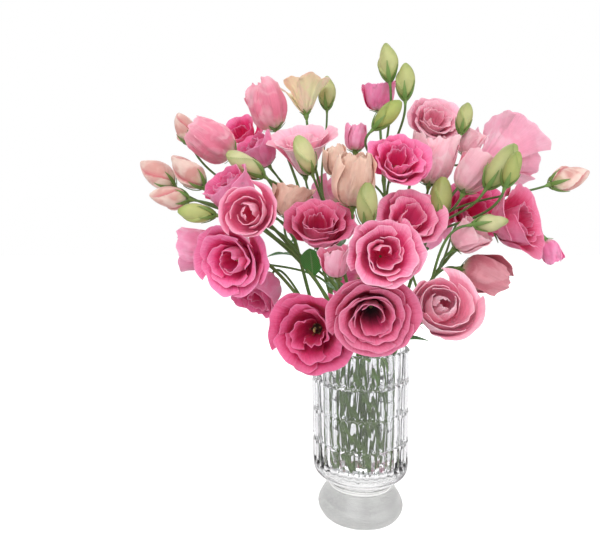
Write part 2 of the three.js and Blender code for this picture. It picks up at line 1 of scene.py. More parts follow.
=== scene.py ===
import bpy
import numpy as np
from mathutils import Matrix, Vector


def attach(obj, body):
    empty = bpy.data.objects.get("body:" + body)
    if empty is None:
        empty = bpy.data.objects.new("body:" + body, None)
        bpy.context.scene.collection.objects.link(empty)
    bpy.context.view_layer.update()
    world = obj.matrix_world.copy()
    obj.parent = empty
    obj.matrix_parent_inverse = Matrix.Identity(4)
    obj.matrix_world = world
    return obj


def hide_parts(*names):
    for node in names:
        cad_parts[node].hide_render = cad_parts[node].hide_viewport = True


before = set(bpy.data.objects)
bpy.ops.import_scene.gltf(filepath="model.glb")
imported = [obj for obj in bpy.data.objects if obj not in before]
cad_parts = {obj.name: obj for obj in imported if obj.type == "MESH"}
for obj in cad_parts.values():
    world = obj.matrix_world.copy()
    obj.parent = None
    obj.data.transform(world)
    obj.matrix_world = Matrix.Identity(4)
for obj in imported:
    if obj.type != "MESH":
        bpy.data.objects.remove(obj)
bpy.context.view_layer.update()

MM = 0.001
UP = np.array([0.0, 0.0, 1.0])

# ---------------------------------------------------------------- sizes

# The vase: its fluted wall, its grooves, and its outline from the foot's underside up to the wall
# and from the wall over the lip and down to the middle of the floor inside, as (radius, z).
VASE = {
    "height": 162, "mouth": 48.5, "shoulder": 46.5, "shoulder_z": 47, "wall_z": (48, 160.5),
    "flutes": 36, "flute_depth": 1.3, "flute_fade": 8,
    "grooves": (75, 104, 133), "groove_depth": 1.2, "groove_half": 2.4, "groove_sag": 0.8,
    "foot": [(35.5, 0), (38.6, 1.3), (41.5, 6.6), (41.2, 11), (37.5, 18), (33, 24), (31, 29),
             (34, 34), (40.5, 38.5), (45, 43), (46.4, 47)],
    "lip": [(47.6, 161.4), (46.6, 161.95), (45.2, 161.9), (44.2, 161.0), (43.95, 159),
            (43.3, 128), (42.0, 62), (40.8, 54), (37.5, 48), (30, 43), (16, 41.3), (3, 41)],
}
# The water: its level, how far it climbs at the glass, and its underside as (radius, z).
WATER = {
    "top": 128, "climb": 0.9,
    "floor": [(3, 41.2), (16, 41.5), (30, 43.2), (37.5, 48.2), (40.7, 54.2), (41.9, 62)],
}
# The stems: the heights of their feet and of where they pass the mouth, how many degrees they turn
# between the two, and their radius up to the mouth and at the top.
STEM = {"foot_z": 48, "mouth_z": 168, "spiral": 110, "thick": 1.9, "thin": 1.4}
# A side branch's radius, and how far the green cup under a head reaches down its stalk.
BRANCH = 1.2
CALYX = 7.0

# How far a stalk keeps its way at its start and its end, as shares of the distance between them,
# and how far from the axis each ring of stems stands at its feet and passes the mouth.
SLACK = (0.3, 0.3)
RINGS = {"outer": (28, 38), "inner": (13, 21)}

# Each kind of head: the height of its centre in half widths, how many petals it has, and for its
# outermost, middle and innermost petal the cubic's four points from base to lip as (radius,
# height) in half widths, half the angle that the petal covers, and how deeply its lip is waved.
KINDS = {
    "open": (0.72, 14, (
        ([(0.05, 0.03), (0.80, 0.03), (0.64, 0.56), (1.00, 0.74)], 52, 0.030),
        ([(0.05, 0.08), (0.62, 0.10), (0.44, 0.70), (0.72, 0.90)], 58, 0.045),
        ([(0.04, 0.10), (0.36, 0.16), (0.26, 0.70), (0.32, 0.86)], 74, 0.050))),
    "rose": (0.85, 17, (
        ([(0.06, 0.03), (1.00, 0.03), (0.85, 0.75), (1.00, 0.85)], 54, 0.022),
        ([(0.06, 0.07), (0.76, 0.10), (0.58, 0.80), (0.64, 0.97)], 60, 0.024),
        ([(0.05, 0.12), (0.32, 0.20), (0.22, 0.80), (0.13, 0.88)], 85, 0.030))),
    "cup": (1.0, 10, (
        ([(0.06, 0.03), (0.95, 0.05), (0.85, 0.95), (0.95, 1.50)], 52, 0.050),
        ([(0.06, 0.07), (0.80, 0.10), (0.62, 0.90), (0.68, 1.48)], 60, 0.055),
        ([(0.05, 0.10), (0.44, 0.16), (0.34, 0.85), (0.28, 1.36)], 80, 0.060))),
    "tulip": (1.2, 9, (
        ([(0.08, 0.03), (1.18, 0.08), (1.08, 1.45), (0.80, 2.36)], 58, 0.060),
        ([(0.08, 0.07), (1.02, 0.16), (0.96, 1.45), (0.46, 2.32)], 64, 0.060),
        ([(0.07, 0.10), (0.70, 0.22), (0.56, 1.45), (0.16, 2.15)], 90, 0.040))),
    "funnel": (1.2, 8, (
        ([(0.05, 0.03), (0.35, 0.20), (0.50, 0.95), (1.00, 1.25)], 46, 0.035),
        ([(0.05, 0.06), (0.30, 0.24), (0.40, 0.95), (0.78, 1.26)], 48, 0.050),
        ([(0.04, 0.10), (0.22, 0.30), (0.26, 0.85), (0.44, 1.12)], 60, 0.060))),
    "bud": (1.6, 1, (([(0.25, 0.03), (1.50, 0.60), (0.90, 2.40), (0.12, 3.20)], 0, 0),)),
    "green": (2.0, 1, (([(0.25, 0.03), (1.45, 0.80), (1.05, 3.20), (0.22, 3.95)], 0, 0),)),
}

# Every head: its kind, the centre, the way it opens, its width, and its tint or, for a green bud,
# how far it has paled.
HEADS = {
    "bloom_01": ("open", (-51, -67, 187), (-3, -10, 0), 74, "magenta"),
    "bloom_02": ("open", (-3, -96, 204), (-1, -10, -3), 68, "plum"),
    "bloom_03": ("open", (3, -115, 254), (0, -10, 1), 56, "rosy"),
    "bloom_04": ("rose", (63, -66, 211), (0, -9, 4), 62, "pale"),
    "bloom_05": ("rose", (-104, -80, 289), (-2, -10, 0), 48, "blush"),
    "bloom_06": ("open", (-123, -44, 248), (-4, -10, -2), 69, "carmine"),
    "bloom_07": ("cup", (-167, 0, 258), (-10, -2, -1), 50, "orchid"),
    "bloom_08": ("cup", (-101, -8, 215), (-4, -6, -6), 49, "carmine"),
    "bloom_09": ("open", (-43, -48, 282), (0, -7, 7), 63, "mauve"),
    "bloom_10": ("open", (44, -30, 287), (1, -9, 4), 63, "rosy"),
    "bloom_11": ("open", (32, -32, 341), (1, -9, 4), 59, "carmine"),
    "bloom_12": ("open", (85, 34, 398), (1, -9, 4), 58, "pale"),
    "bloom_13": ("cup", (-125, -36, 313), (-5, -5, 6), 48, "carmine"),
    "bloom_14": ("tulip", (-97, 45, 415), (-4, -1, 9), 43, "tender"),
    "bloom_15": ("tulip", (-148, 0, 366), (-9, -2, 4), 40, "tender"),
    "bloom_16": ("funnel", (-59, 8, 371), (-1, -5, 7), 69, "pale"),
    "bloom_17": ("open", (-128, 75, 397), (-3, -8, 4), 54, "carmine"),
    "bloom_18": ("cup", (-106, 28, 365), (-5, -5, 6), 42, "carmine"),
    "bloom_19": ("cup", (22, 20, 422), (-1, -3, 9), 36, "carmine"),
    "bloom_20": ("tulip", (-5, -5, 369), (0, -1, 9), 22, "orchid"),
    "bloom_21": ("funnel", (175, 56, 369), (8, 3, 5), 90, "blush"),
    "bloom_22": ("open", (150, -25, 285), (6, -7, 2), 77, "mauve"),
    "bloom_23": ("open", (128, 36, 299), (1, -9, 2), 71, "carmine"),
    "bloom_24": ("tulip", (206, 30, 257), (3, -1, -8), 22, "carmine"),
    "bloom_25": ("tulip", (118, -22, 233), (7, -3, -2), 40, "dusty"),
    "bloom_26": ("cup", (95, -43, 271), (5, -4, 5), 36, "shell"),
    "bloom_27": ("tulip", (-31, -75, 247), (-2, -3, 9), 22, "blush"),
    "bloom_28": ("tulip", (74, 4, 348), (1, -2, 9), 40, "shell"),
    "bloom_29": ("cup", (117, 17, 373), (3, -2, 9), 33, "shell"),
    "bloom_30": ("tulip", (-13, -55, 318), (0, -3, 9), 38, "cream"),
    "bloom_31": ("tulip", (-26, -18, 343), (-2, -1, 9), 24, "cream"),
    "bloom_32": ("cup", (-69, -5, 311), (2, -2, 9), 43, "cream"),
    "bloom_33": ("funnel", (-57, 58, 446), (-1, 0, 9), 59, "ivory"),
    "bloom_34": ("tulip", (105, -22, 331), (4, -2, 9), 33, "shell"),
    "bloom_35": ("open", (-143, 78, 249), (-4, 10, 1), 66, "blush"),
    "bloom_36": ("open", (20, 105, 215), (0, 10, -1), 70, "magenta"),
    "bloom_37": ("open", (85, 85, 285), (5, 10, 2), 64, "orchid"),
    "bloom_38": ("cup", (-20, 85, 320), (-1, 9, 5), 52, "orchid"),
    "bud_01": ("bud", (-182, 25, 387), (-4, 1, 9), 22, "bud"),
    "bud_02": ("bud", (-203, 0, 334), (-8, 0, 6), 25, "bud"),
    "bud_03": ("bud", (-169, -15, 334), (-7, -1, 7), 25, "bud"),
    "bud_04": ("bud", (-185, -22, 308), (-9, -1, 1), 22, "bud"),
    "bud_05": ("bud", (213, 5, 331), (9, 0, 3), 25, "bud"),
    "green_01": ("green", (-154, -45, 291), (-9, -1, 1), 16, 0.2),
    "green_02": ("green", (-113, -20, 340), (-8, -1, 5), 20, 0.9),
    "green_03": ("green", (-56, -45, 344), (-4, -5, 9), 18, 0.7),
    "green_04": ("green", (-28, 84, 446), (0, 0, 9), 19, 0.5),
    "green_05": ("green", (26, -8, 443), (-1, 0, 9), 18, 0.4),
    "green_06": ("green", (42, -14, 422), (0, 0, 9), 17, 0.3),
    "green_07": ("green", (23, -25, 386), (7, -1, 7), 17, 0.0),
    "green_08": ("green", (106, 4, 392), (2, 0, 9), 15, 0.4),
    "green_09": ("green", (-4, -74, 296), (0, -2, 9), 18, 0.4),
    "green_10": ("green", (76, -14, 308), (1, -1, 9), 21, 0.2),
    "green_11": ("green", (120, -48, 333), (5, -1, 8), 22, 0.4),
    "green_12": ("green", (123, -62, 328), (3, -1, 9), 15, 0.1),
    "green_13": ("green", (105, -62, 281), (9, -1, 1), 14, 0.8),
}

# Every stem: its ring and turn at the mouth, the heads that it bears with the share of the way at
# which each leaves the stalk, its leaves as (share, way, length, width), and any slack of its own.
SPRAYS = [
    ("outer", 200, {"bloom_06": 1, "bloom_07": 0.35, "bloom_08": 0.2},
     [(0.25, (-5, 5, 6), 44, 17)]),
    ("inner", 215, {"bloom_05": 1, "bloom_13": 0.45, "green_01": 0.5, "bud_04": 0.3},
     [(0.42, (-3, -16, 34), 42, 20)]),
    ("outer", 160, {"bloom_15": 1, "bud_01": 0.45, "bud_02": 0.4, "bud_03": 0.5},
     [(0.4, (-8, 6, 3), 46, 16)]),
    ("inner", 150, {"bloom_14": 1, "bloom_17": 0.5, "bloom_18": 0.4, "green_02": 0.65},
     [(0.45, (-6, 8, 3), 48, 18)]),
    ("inner", 90, {"bloom_33": 1, "bloom_16": 0.45, "green_03": 0.3, "green_04": 0.6},
     [(0.4, (1, 8, 5), 46, 17)]),
    ("outer", 240, {"bloom_01": 1, "bloom_27": 0.4}, [(0.3, (-8, -1, 2), 34, 15)]),
    ("outer", 275, {"bloom_03": 1, "bloom_02": 0.3, "green_09": 0.6},
     [(0.05, (1, -6, 3), 30, 14)]),
    ("outer", 312, {"bloom_04": 1, "bloom_10": 0.5, "green_13": 0.4},
     [(0.08, (7, -2, 3), 34, 15)]),
    ("inner", 260, {"bloom_09": 1, "bloom_32": 0.5}, [(0.5, (-2, 8, 4), 40, 16)]),
    ("inner", 320, {"bloom_19": 1, "bloom_11": 0.5, "bloom_30": 0.4, "bloom_31": 0.5,
      "bloom_20": 0.6, "green_05": 0.7, "green_06": 0.7, "green_07": 0.7}, []),
    ("inner", 25, {"bloom_12": 1, "bloom_28": 0.5, "bloom_29": 0.8, "green_08": 0.85,
      "green_10": 0.4}, [(0.3, (-1, 7, 6), 44, 16)], (0.3, 0.12)),
    ("outer", 15, {"bloom_21": 1, "bloom_34": 0.6, "green_11": 0.55, "green_12": 0.5,
      "bud_05": 0.6}, [(0.45, (2, 8, 4), 48, 18)]),
    ("outer", 345, {"bloom_22": 1, "bloom_24": 0.6, "bloom_25": 0.3, "bloom_26": 0.5,
      "bloom_23": 0.5}, [(0.4, (9, -1, -1), 55, 17)]),
    ("outer", 85, {"bloom_36": 1, "bloom_37": 0.4}, [(0.2, (7, 5, 2), 44, 17)]),
    ("outer", 125, {"bloom_38": 1, "bloom_35": 0.3}, [(0.35, (2, 8, 4), 44, 17)]),
]

# Petal tints, as screen values: the colours of the throat, the inside, the outside and the lip.
TINTS = {
    "magenta": ((140, 14, 40), (218, 38, 106), (214, 76, 132), (238, 134, 176)),
    "carmine": ((238, 36, 100), (244, 66, 138), (244, 118, 166), (248, 166, 202)),
    "mauve": ((124, 20, 54), (224, 56, 112), (218, 98, 140), (238, 156, 188)),
    "plum": ((26, 16, 20), (220, 58, 112), (216, 104, 144), (236, 154, 184)),
    "rosy": ((200, 40, 90), (240, 80, 140), (242, 130, 170), (252, 200, 218)),
    "orchid": ((225, 44, 96), (240, 88, 146), (242, 136, 174), (248, 178, 206)),
    "blush": ((238, 78, 124), (246, 116, 158), (246, 158, 184), (252, 196, 212)),
    "pale": ((252, 120, 160), (252, 158, 184), (252, 184, 202), (255, 212, 222)),
    "tender": ((232, 76, 112), (240, 100, 140), (232, 122, 148), (248, 186, 198)),
    "dusty": ((180, 66, 88), (196, 100, 118), (190, 108, 122), (218, 154, 162)),
    "shell": ((242, 122, 144), (246, 156, 176), (246, 172, 188), (252, 208, 214)),
    "cream": ((226, 146, 128), (230, 174, 158), (224, 176, 158), (242, 208, 188)),
    "ivory": ((190, 190, 110), (240, 228, 184), (236, 232, 180), (248, 206, 188)),
    # The bud tint's inside colour is painted shade in the folds beside each rolled petal's edge.
    "bud": ((150, 140, 100), (206, 116, 122), (208, 152, 144), (240, 222, 210)),
}

# The other colours, as screen values: the petals' green base, the heart, and all that is green.
# Two of them are painted shade: the darker stalk inside the vase and the darker edge of green buds.
SHADES = {
    "petal_base": (205, 210, 160), "ovary": (52, 48, 28), "style": (170, 165, 105),
    "anther": (110, 85, 40), "stalk": (104, 140, 68), "stalk_in_vase_shade": (70, 96, 24),
    "stalk_end": (88, 118, 62), "sepal_tip": (120, 145, 80), "leaf": (50, 120, 42),
    "vein": (98, 138, 84), "bud": (160, 168, 92), "bud_tip": (210, 206, 160),
    "bud_end": (135, 155, 75), "bud_crevice_shade": (120, 140, 70),
}


def unit(v):
    """v over its own length, along the last axis."""
    v = np.asarray(v, float)
    return v / np.linalg.norm(v, axis=-1, keepdims=True)


def smooth(low, high, x):
    """0 below low and 1 above high, with 3x^2 - 2x^3 between them."""
    x = np.clip((x - low) / (high - low), 0, 1)
    return x * x * (3 - 2 * x)


def cubic(points, t):
    """The cubic with those four control points, at every t."""
    p = np.asarray(points, float)
    t = np.asarray(t, float)[..., None]
    u = 1 - t
    return u**3 * p[0] + 3 * u * u * t * p[1] + 3 * u * t * t * p[2] + t**3 * p[3]


# ---------------------------------------------------------------- patches and pieces

# A patch is its points, its quads, its triangles, and its marks: one number a point for each name.
# reach runs from base to tip and across from side to side, inside is 1 on a petal's inner face and
# rim 1 along its edge, tone is a petal's depth in its bloom or the kind of green part, and chance
# is one random number a part.
MARKS = ("reach", "across", "inside", "rim", "tone", "chance")


def patch(points, quads, tris, **marks):
    """One closed body's points and faces, with every mark given at each point."""
    count = len(points)
    values = {name: np.broadcast_to(marks.get(name, 0.0), (count,)) for name in MARKS}
    return {
        "points": np.asarray(points, float),
        "quads": np.asarray(quads, int).reshape(-1, 4),
        "tris": np.asarray(tris, int).reshape(-1, 3),
        "marks": values,
    }


def grid_quads(rows, columns):
    """The quads of a grid of points that is rows by columns, counted along its rows."""
    at = np.arange(rows * columns).reshape(rows, columns)
    return np.stack([at[:-1, :-1], at[:-1, 1:], at[1:, 1:], at[1:, :-1]], -1).reshape(-1, 4)


def shell(surface, thick, **marks):
    """A thin closed blade: a grid of points is moved half the thickness to either side along the
    cross product of its two ways, and the two faces are joined all round by walls."""
    rows, columns, _ = surface.shape
    normal = unit(np.cross(np.gradient(surface, axis=1), np.gradient(surface, axis=0)))
    count = rows * columns
    points = np.concatenate([
        (surface + normal * thick / 2).reshape(-1, 3), (surface - normal * thick / 2).reshape(-1, 3)])
    over = grid_quads(rows, columns)
    at = np.arange(count).reshape(rows, columns)
    edge = np.concatenate([at[0, :-1], at[:-1, -1], at[-1, :0:-1], at[:0:-1, 0]])
    after = np.roll(edge, -1)
    walls = np.stack([after, edge, edge + count, after + count], -1)
    quads = np.concatenate([over, over[:, ::-1] + count, walls])
    both = {name: np.tile(np.broadcast_to(value, (rows, columns)).reshape(-1), 2)
            for name, value in marks.items()}
    both["inside"] = np.repeat([0.0, 1.0], count)
    return patch(points, quads, [], **both)


def lathe(rings, **marks):
    """A closed body from rings of as many points each, with a fan to the middle of either end."""
    rows, sides, _ = rings.shape
    at = np.arange(rows * sides).reshape(rows, sides)
    after = np.roll(at, -1, axis=1)
    quads = np.stack([at[:-1], after[:-1], after[1:], at[1:]], -1).reshape(-1, 4)
    low, high = rows * sides, rows * sides + 1
    tris = np.concatenate([
        np.stack([after[0], at[0], np.full(sides, low)], -1),
        np.stack([at[-1], after[-1], np.full(sides, high)], -1)])
    points = np.concatenate([rings.reshape(-1, 3), [rings[0].mean(0), rings[-1].mean(0)]])
    spread = {}
    for name, value in marks.items():
        value = np.broadcast_to(value, (rows, sides))
        spread[name] = np.concatenate([value.reshape(-1), [value[0].mean(), value[-1].mean()]])
    return patch(points, quads, tris, **spread)


def turned_out(part):
    """The patch with its faces the right way: the volume under them is made positive."""
    tris = np.concatenate([part["quads"][:, :3], part["quads"][:, [0, 2, 3]], part["tris"]])
    a, b, c = (part["points"][tris[:, k]] for k in range(3))
    if np.einsum("ij,ij->i", a, np.cross(b, c)).sum() < 0:
        part["quads"] = part["quads"][:, ::-1]
        part["tris"] = part["tris"][:, ::-1]
    return part


def piece(name, parts, material, node, sharp=50):
    """One mesh object from patches, which takes the place of a CAD node and hides that node. It is
    smooth except along edges that bend by more than sharp degrees."""
    parts = [turned_out(p) for p in parts]
    starts = np.cumsum([0] + [len(p["points"]) for p in parts[:-1]])
    points = np.concatenate([p["points"] for p in parts]) * MM
    quads = np.concatenate([p["quads"] + s for p, s in zip(parts, starts)])
    tris = np.concatenate([p["tris"] + s for p, s in zip(parts, starts)])
    mesh = bpy.data.meshes.new(name)
    mesh.vertices.add(len(points))
    mesh.vertices.foreach_set("co", points.astype(np.float32).ravel())
    loops = np.concatenate([quads.ravel(), tris.ravel()]).astype(np.int32)
    mesh.loops.add(len(loops))
    mesh.loops.foreach_set("vertex_index", loops)
    begins = np.concatenate([4 * np.arange(len(quads)), 4 * len(quads) + 3 * np.arange(len(tris))])
    mesh.polygons.add(len(begins))
    mesh.polygons.foreach_set("loop_start", begins.astype(np.int32))
    mesh.update(calc_edges=True)
    mesh.polygons.foreach_set("use_smooth", np.ones(len(begins), bool))
    mesh.set_sharp_from_angle(angle=np.radians(sharp))
    for mark in MARKS:
        values = np.concatenate([p["marks"][mark] for p in parts]).astype(np.float32)
        mesh.attributes.new(mark, "FLOAT", "POINT").data.foreach_set("value", values)
    mesh.validate()
    made = bpy.data.objects.new(name, mesh)
    bpy.context.scene.collection.objects.link(made)
    mesh.materials.append(material)
    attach(made, "root")
    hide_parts(node)
    return made


# ---------------------------------------------------------------- heads

def head_frame(name):
    """A head's base, its way, its two ways across and half its width."""
    kind, at, face, width, _ = HEADS[name]
    way = unit(face)
    side = np.array([1.0, 0, 0]) if abs(way[2]) > 0.95 else unit(np.cross(UP, way))
    other = unit(np.cross(way, side))
    side = np.cross(other, way)
    base = np.array(at, float) - way * KINDS[kind][0] * width / 2
    return base, way, side, other, width / 2


def placed(head, radius, angle, height):
    """Points of a head's frame from a radius, an angle in radians and a height."""
    base, way, side, other, _ = head
    radius, angle, height = np.broadcast_arrays(radius, angle, height)
    return (base + side * (radius * np.cos(angle))[..., None]
            + other * (radius * np.sin(angle))[..., None] + way * height[..., None])


# Each kind's petals: the rows and columns of their grid, the turn in degrees from base to lip, how
# suddenly they end at their sides, and in half widths the fine waves at the lip, the folds along
# the petal and the dents all over.
PETALS = {
    "open": {"grid": (14, 27), "twist": 12, "point": 3.6, "frill": 0.010, "pleat": 0.014,
             "crumple": 0.008},
    "rose": {"grid": (13, 24), "twist": 30, "point": 3.6, "frill": 0.010, "pleat": 0.012,
             "crumple": 0.008},
    "cup": {"grid": (12, 20), "twist": 22, "point": 2.4, "frill": 0.018, "pleat": 0.034,
            "crumple": 0.016},
    "tulip": {"grid": (14, 20), "twist": 34, "point": 2.4, "frill": 0.014, "pleat": 0.045,
              "crumple": 0.020},
    "funnel": {"grid": (13, 26), "twist": 4, "point": 2.4, "frill": 0.010, "pleat": 0.020,
               "crumple": 0.010},
}
PETAL_THICK = 0.4
# About a full turn: a random number times this is the phase of a sine.
PHASE = 6.3


def between(stages, u):
    """The profile, half angle and wave of a petal that lies u of the way from the outermost of
    the stages to the innermost, straight from one stage to the next."""
    k = min(int(u * (len(stages) - 1)), len(stages) - 2)
    share = u * (len(stages) - 1) - k
    return [(1 - share) * np.asarray(a, float) + share * np.asarray(b, float)
            for a, b in zip(stages[k], stages[k + 1])]


def petal_profile(profile, depth, look, draw):
    """The cubic's points of one petal: inner petals tuck their lips in, and flare moves lips out."""
    tuck = depth * look["tuck"] * (draw[8] - 0.3) * 0.35
    profile = profile + np.array([[0, 0], [0, 0], [0.3 * tuck, 0], [-tuck, 0.3 * abs(tuck)]])
    profile[3, 0] += look["flare"] * (1 - 0.5 * depth)
    return profile


def petal_reach(s, t, look, draw):
    """How far along its profile each point of a petal lies: t, less towards the sides so that the
    outline is round, and a little more or less for the notches of the lip, which are two sines
    across it that grow with the cube of t."""
    side_drop = (0.16 + 0.08 * draw[0]) * (1 - look["round"])
    notch = 0.022 * np.sin(4 * s + PHASE * draw[1]) + 0.014 * np.sin(11 * s + PHASE * draw[2])
    return t * (1 - side_drop * np.abs(s) ** look["point"] * t + look["ruffle"] * notch * t * t)


def petal_relief(s, t, depth, wave, look, draw):
    """How far a petal's points stand out and up from its profile, in half widths: sines across it
    that grow with the cube of t, finer ones at the lip, a lap that puts one side outside the next
    petal, an outward curl at the lip, one fold, folds along it, and dents as products of sines."""
    phase = PHASE * draw
    turns = (0.7 + 1.1 * draw[4]) * np.pi
    swing = look["ruffle"] * wave * t**3 * (
        np.sin(turns * s + phase[5]) + 0.4 * np.sin(2.6 * turns * s + phase[6]))
    frill = look["frill"] * t**6 * (0.3 + depth) * (
        np.sin((7 + 5 * draw[9]) * s + phase[2]) + 0.6 * np.sin((15 + 6 * draw[0]) * s))
    lap = 0.045 * s * np.sqrt(t)
    curl = 0.07 * smooth(0.8, 1.0, t) * (1 - depth) * (0.2 + draw[7])
    fold = 0.05 * t**2 * np.exp(-((s - 1.2 * draw[1] + 0.6) / 0.22) ** 2) * (draw[6] - 0.3)
    pleat = look["pleat"] * np.sin(np.pi * np.minimum(t * 1.1, 1)) * (
        np.sin(3.1 * np.pi * s + phase[8]) + 0.6 * np.sin(5.3 * s + 3 * t + phase[5]))
    crumple = look["crumple"] * t * (
        np.sin(7 * s + 5 * t + phase[3]) * np.sin(8 * t - 3 * s + phase[4])
        + 0.5 * np.sin(13 * s - 6 * t + phase[8]) * np.sin(13 * t + 5 * s))
    out = swing + frill + lap + curl + fold + pleat + crumple
    up = 0.5 * swing * np.cos(3 * s + phase[1]) + 0.5 * frill - 0.7 * curl
    return out, up


def petal(head, stage, depth, middle, look, draw):
    """One petal, on a grid where t runs from base to lip and s from side to side. Its middle line
    is a cubic, it covers an angle to either side of middle that wavers a little, and it twists
    with t to the power 1.5. Its points stand out from that by the relief. The rim mark falls in a
    straight line from 1 along the lip and the sides to 0 a little way in."""
    profile, half, wave = stage
    rows, columns = look["grid"]
    scale = head[4]
    t = 1 - (1 - np.linspace(0, 1, rows + 1)[:, None]) ** 1.6
    s = np.linspace(-1, 1, columns + 1)[None, :]
    s = 0.4 * s + 0.6 * np.sin(np.pi / 2 * s)
    along = petal_reach(s, t, look, draw)
    radial = cubic(petal_profile(profile, depth, look, draw), np.clip(along, 0, 1.05))
    longest, more = look["long"]
    size = 1 + t * (look["grow"] * (1 - depth) + (0.03 + 0.13 * depth) * (draw[3] - 0.55)
                    + more * (1 - depth) * np.cos(np.radians(middle - longest)))
    out, up = petal_relief(s, t, depth, wave, look, draw)
    radius = (radial[..., 0] * size + out) * scale
    height = (radial[..., 1] * size * look["squat"] + up) * scale
    wide = half * (1 + 0.05 * np.sin(8 * t + PHASE * draw[1]))
    angle = np.radians(middle + s * wide + look["twist"] * t**1.5)
    rim = np.clip(1 - np.minimum((1 - t) * 36, (1 - np.abs(s)) * 16 + (1 - t) * 2), 0, 1)
    return shell(placed(head, radius, angle, height), PETAL_THICK, reach=along, across=s * half / 40,
                 rim=rim, chance=draw[9], tone=depth)


def rod(points, radii, sides, **marks):
    """A closed tube along points, its ring at each point square to the way there, with a radius
    for each. The rings keep one side towards the normal of the plane that the path bends in."""
    points = np.asarray(points, float)
    way = unit(np.gradient(points, axis=0))
    plane = np.cross(points[-1] - points[0], way[0])
    if np.linalg.norm(plane) < 1e-3:
        plane = np.cross(way[0], np.array([0.3, 1.0, 0.2]))
    first = unit(np.cross(way, plane))
    second = np.cross(way, first)
    a = np.linspace(0, 2 * np.pi, sides, endpoint=False)
    radii = np.broadcast_to(radii, (len(points),))[:, None, None]
    rings = points[:, None] + radii * (first[:, None] * np.cos(a)[None, :, None]
                                       + second[:, None] * np.sin(a)[None, :, None])
    return lathe(rings, **{k: np.broadcast_to(v, (len(points),))[:, None] for k, v in marks.items()})


HEART = {"top": {"open": 0.36, "funnel": 0.5}, "lobes": 2, "stamens": 5}


def heart(head, kind, draw):
    """The middle of an open head: a short green ovary, a pale style that ends in two rounded
    lobes, and five bent stamens with yellow tips round it. Its tone mark is -1."""
    scale = head[4]
    top = HEART["top"][kind] * scale
    lean = 0.1 * scale * (draw[0] - 0.5)
    t = np.linspace(0, 1, 9)
    line = placed(head, lean * t**2, PHASE * draw[1], 1 + t * (top - 1))
    thick = (0.10 * np.sin(np.pi * np.clip(t * 1.7, 0, 1)) + 0.035) * scale
    parts = [rod(line, thick, 12, tone=-1.0, reach=0.25 + 0.5 * t)]
    t = np.linspace(0, 1, 6)
    for k in range(HEART["lobes"]):
        turn = PHASE * draw[2] + np.pi * k
        line = placed(head, lean + 0.06 * scale * t, turn, top + 0.04 * scale * np.sin(2.4 * t))
        thick = 0.03 * scale * np.sin(0.5 + 2.3 * t)
        parts.append(rod(line, thick, 9, tone=-1.0, reach=0.95))
    t = np.linspace(0, 1, 8)
    for k in range(HEART["stamens"]):
        turn = PHASE * (draw[3] + k / HEART["stamens"])
        line = placed(head, (0.05 + 0.13 * t - 0.05 * t**3) * scale, turn, 1 + t * 0.8 * (top - 1))
        thick = np.where(t > 0.8, 0.02, 0.01) * scale
        parts.append(rod(line, thick, 7, tone=-1.0, reach=np.where(t > 0.75, 1.2, 0.7)))
    return parts


# What sets a bloom apart. Its size: count is how many petals it has, grow widens it, squat lowers
# it, and long gives the turn whose petals are longer and by how much. Its petals' outline: round
# lessens how far they end sooner at their sides, point is how suddenly they do, and flare moves
# their lips out. Their surface: ruffle scales the waves and notches, and pleat, crumple and frill
# set the folds along them, the dents all over and the fine waves at the lip. Its middle: tuck
# folds the inner petals, core below 1 leaves out the innermost forms, and shut hides the heart.
# draw picks another set of random numbers.
PLAIN = {
    "grow": 0.05, "squat": 1.0, "long": (0, 0), "round": 0.3, "flare": 0.0, "ruffle": 1.0,
    "tuck": 0.5, "core": 1.0, "shut": False, "draw": 3,
}
LOOKS = {
    "bloom_01": {"ruffle": 0.65, "tuck": 0.1, "count": 11, "round": 0.6, "point": 6, "frill": 0.02,
                 "draw": 5},
    "bloom_02": {"ruffle": 0.6, "tuck": 0.1, "count": 17, "round": 0.6, "frill": 0.004, "shut": True},
    "bloom_03": {"ruffle": 0.9, "tuck": 1.0, "count": 12, "round": 0.7, "frill": 0.006, "shut": True},
    "bloom_04": {"ruffle": 0.8, "tuck": 0.9, "count": 13, "core": 0.95, "round": 0.4, "point": 2.6,
                 "long": (-100, 0.15), "draw": 6},
    "bloom_05": {"count": 10, "round": 0.6, "core": 0.92},
    "bloom_06": {"ruffle": 0.8, "tuck": 1.0, "count": 13, "grow": 0.08, "round": 0.6},
    "bloom_09": {"count": 12, "frill": 0.02, "round": 0.6},
    "bloom_10": {"ruffle": 0.8, "count": 11, "grow": 0.08, "frill": 0.016},
    "bloom_11": {"ruffle": 1.2, "count": 12, "frill": 0.024},
    "bloom_12": {"count": 13, "grow": 0.1},
    "bloom_14": {"pleat": 0.085, "flare": -0.1, "ruffle": 1.5, "crumple": 0.045},
    "bloom_15": {"pleat": 0.08, "flare": -0.2, "ruffle": 1.4, "crumple": 0.045},
    "bloom_16": {"round": 0.8, "ruffle": 0.5, "count": 10},
    "bloom_17": {"count": 7},
    "bloom_21": {"round": 0.9, "count": 10, "ruffle": 0.6},
    "bloom_22": {"ruffle": 0.8, "count": 9, "grow": 0.08, "frill": 0.02},
    "bloom_23": {"count": 10, "grow": 0.08, "shut": True},
    "bloom_25": {"flare": -0.35, "frill": 0.03, "grow": 0.2, "squat": 0.8, "ruffle": 1.5,
                 "crumple": 0.05},
    "bloom_27": {"flare": 0.35, "point": 1.2, "count": 7},
    "bloom_28": {"pleat": 0.07, "flare": 0.3, "frill": 0.03, "ruffle": 1.6, "crumple": 0.045},
    "bloom_30": {"pleat": 0.07, "flare": -0.05, "frill": 0.04, "ruffle": 1.5, "crumple": 0.045},
    "bloom_33": {"point": 1.5, "ruffle": 0.5},
    "bloom_34": {"flare": 0.05, "frill": 0.02},
    "bloom_35": {"count": 10},
    "bloom_36": {"count": 10},
    "bloom_37": {"count": 10},
}
OUTER_PETALS = 5
OUTER_STEP = 144
GOLDEN_STEP = 137.5


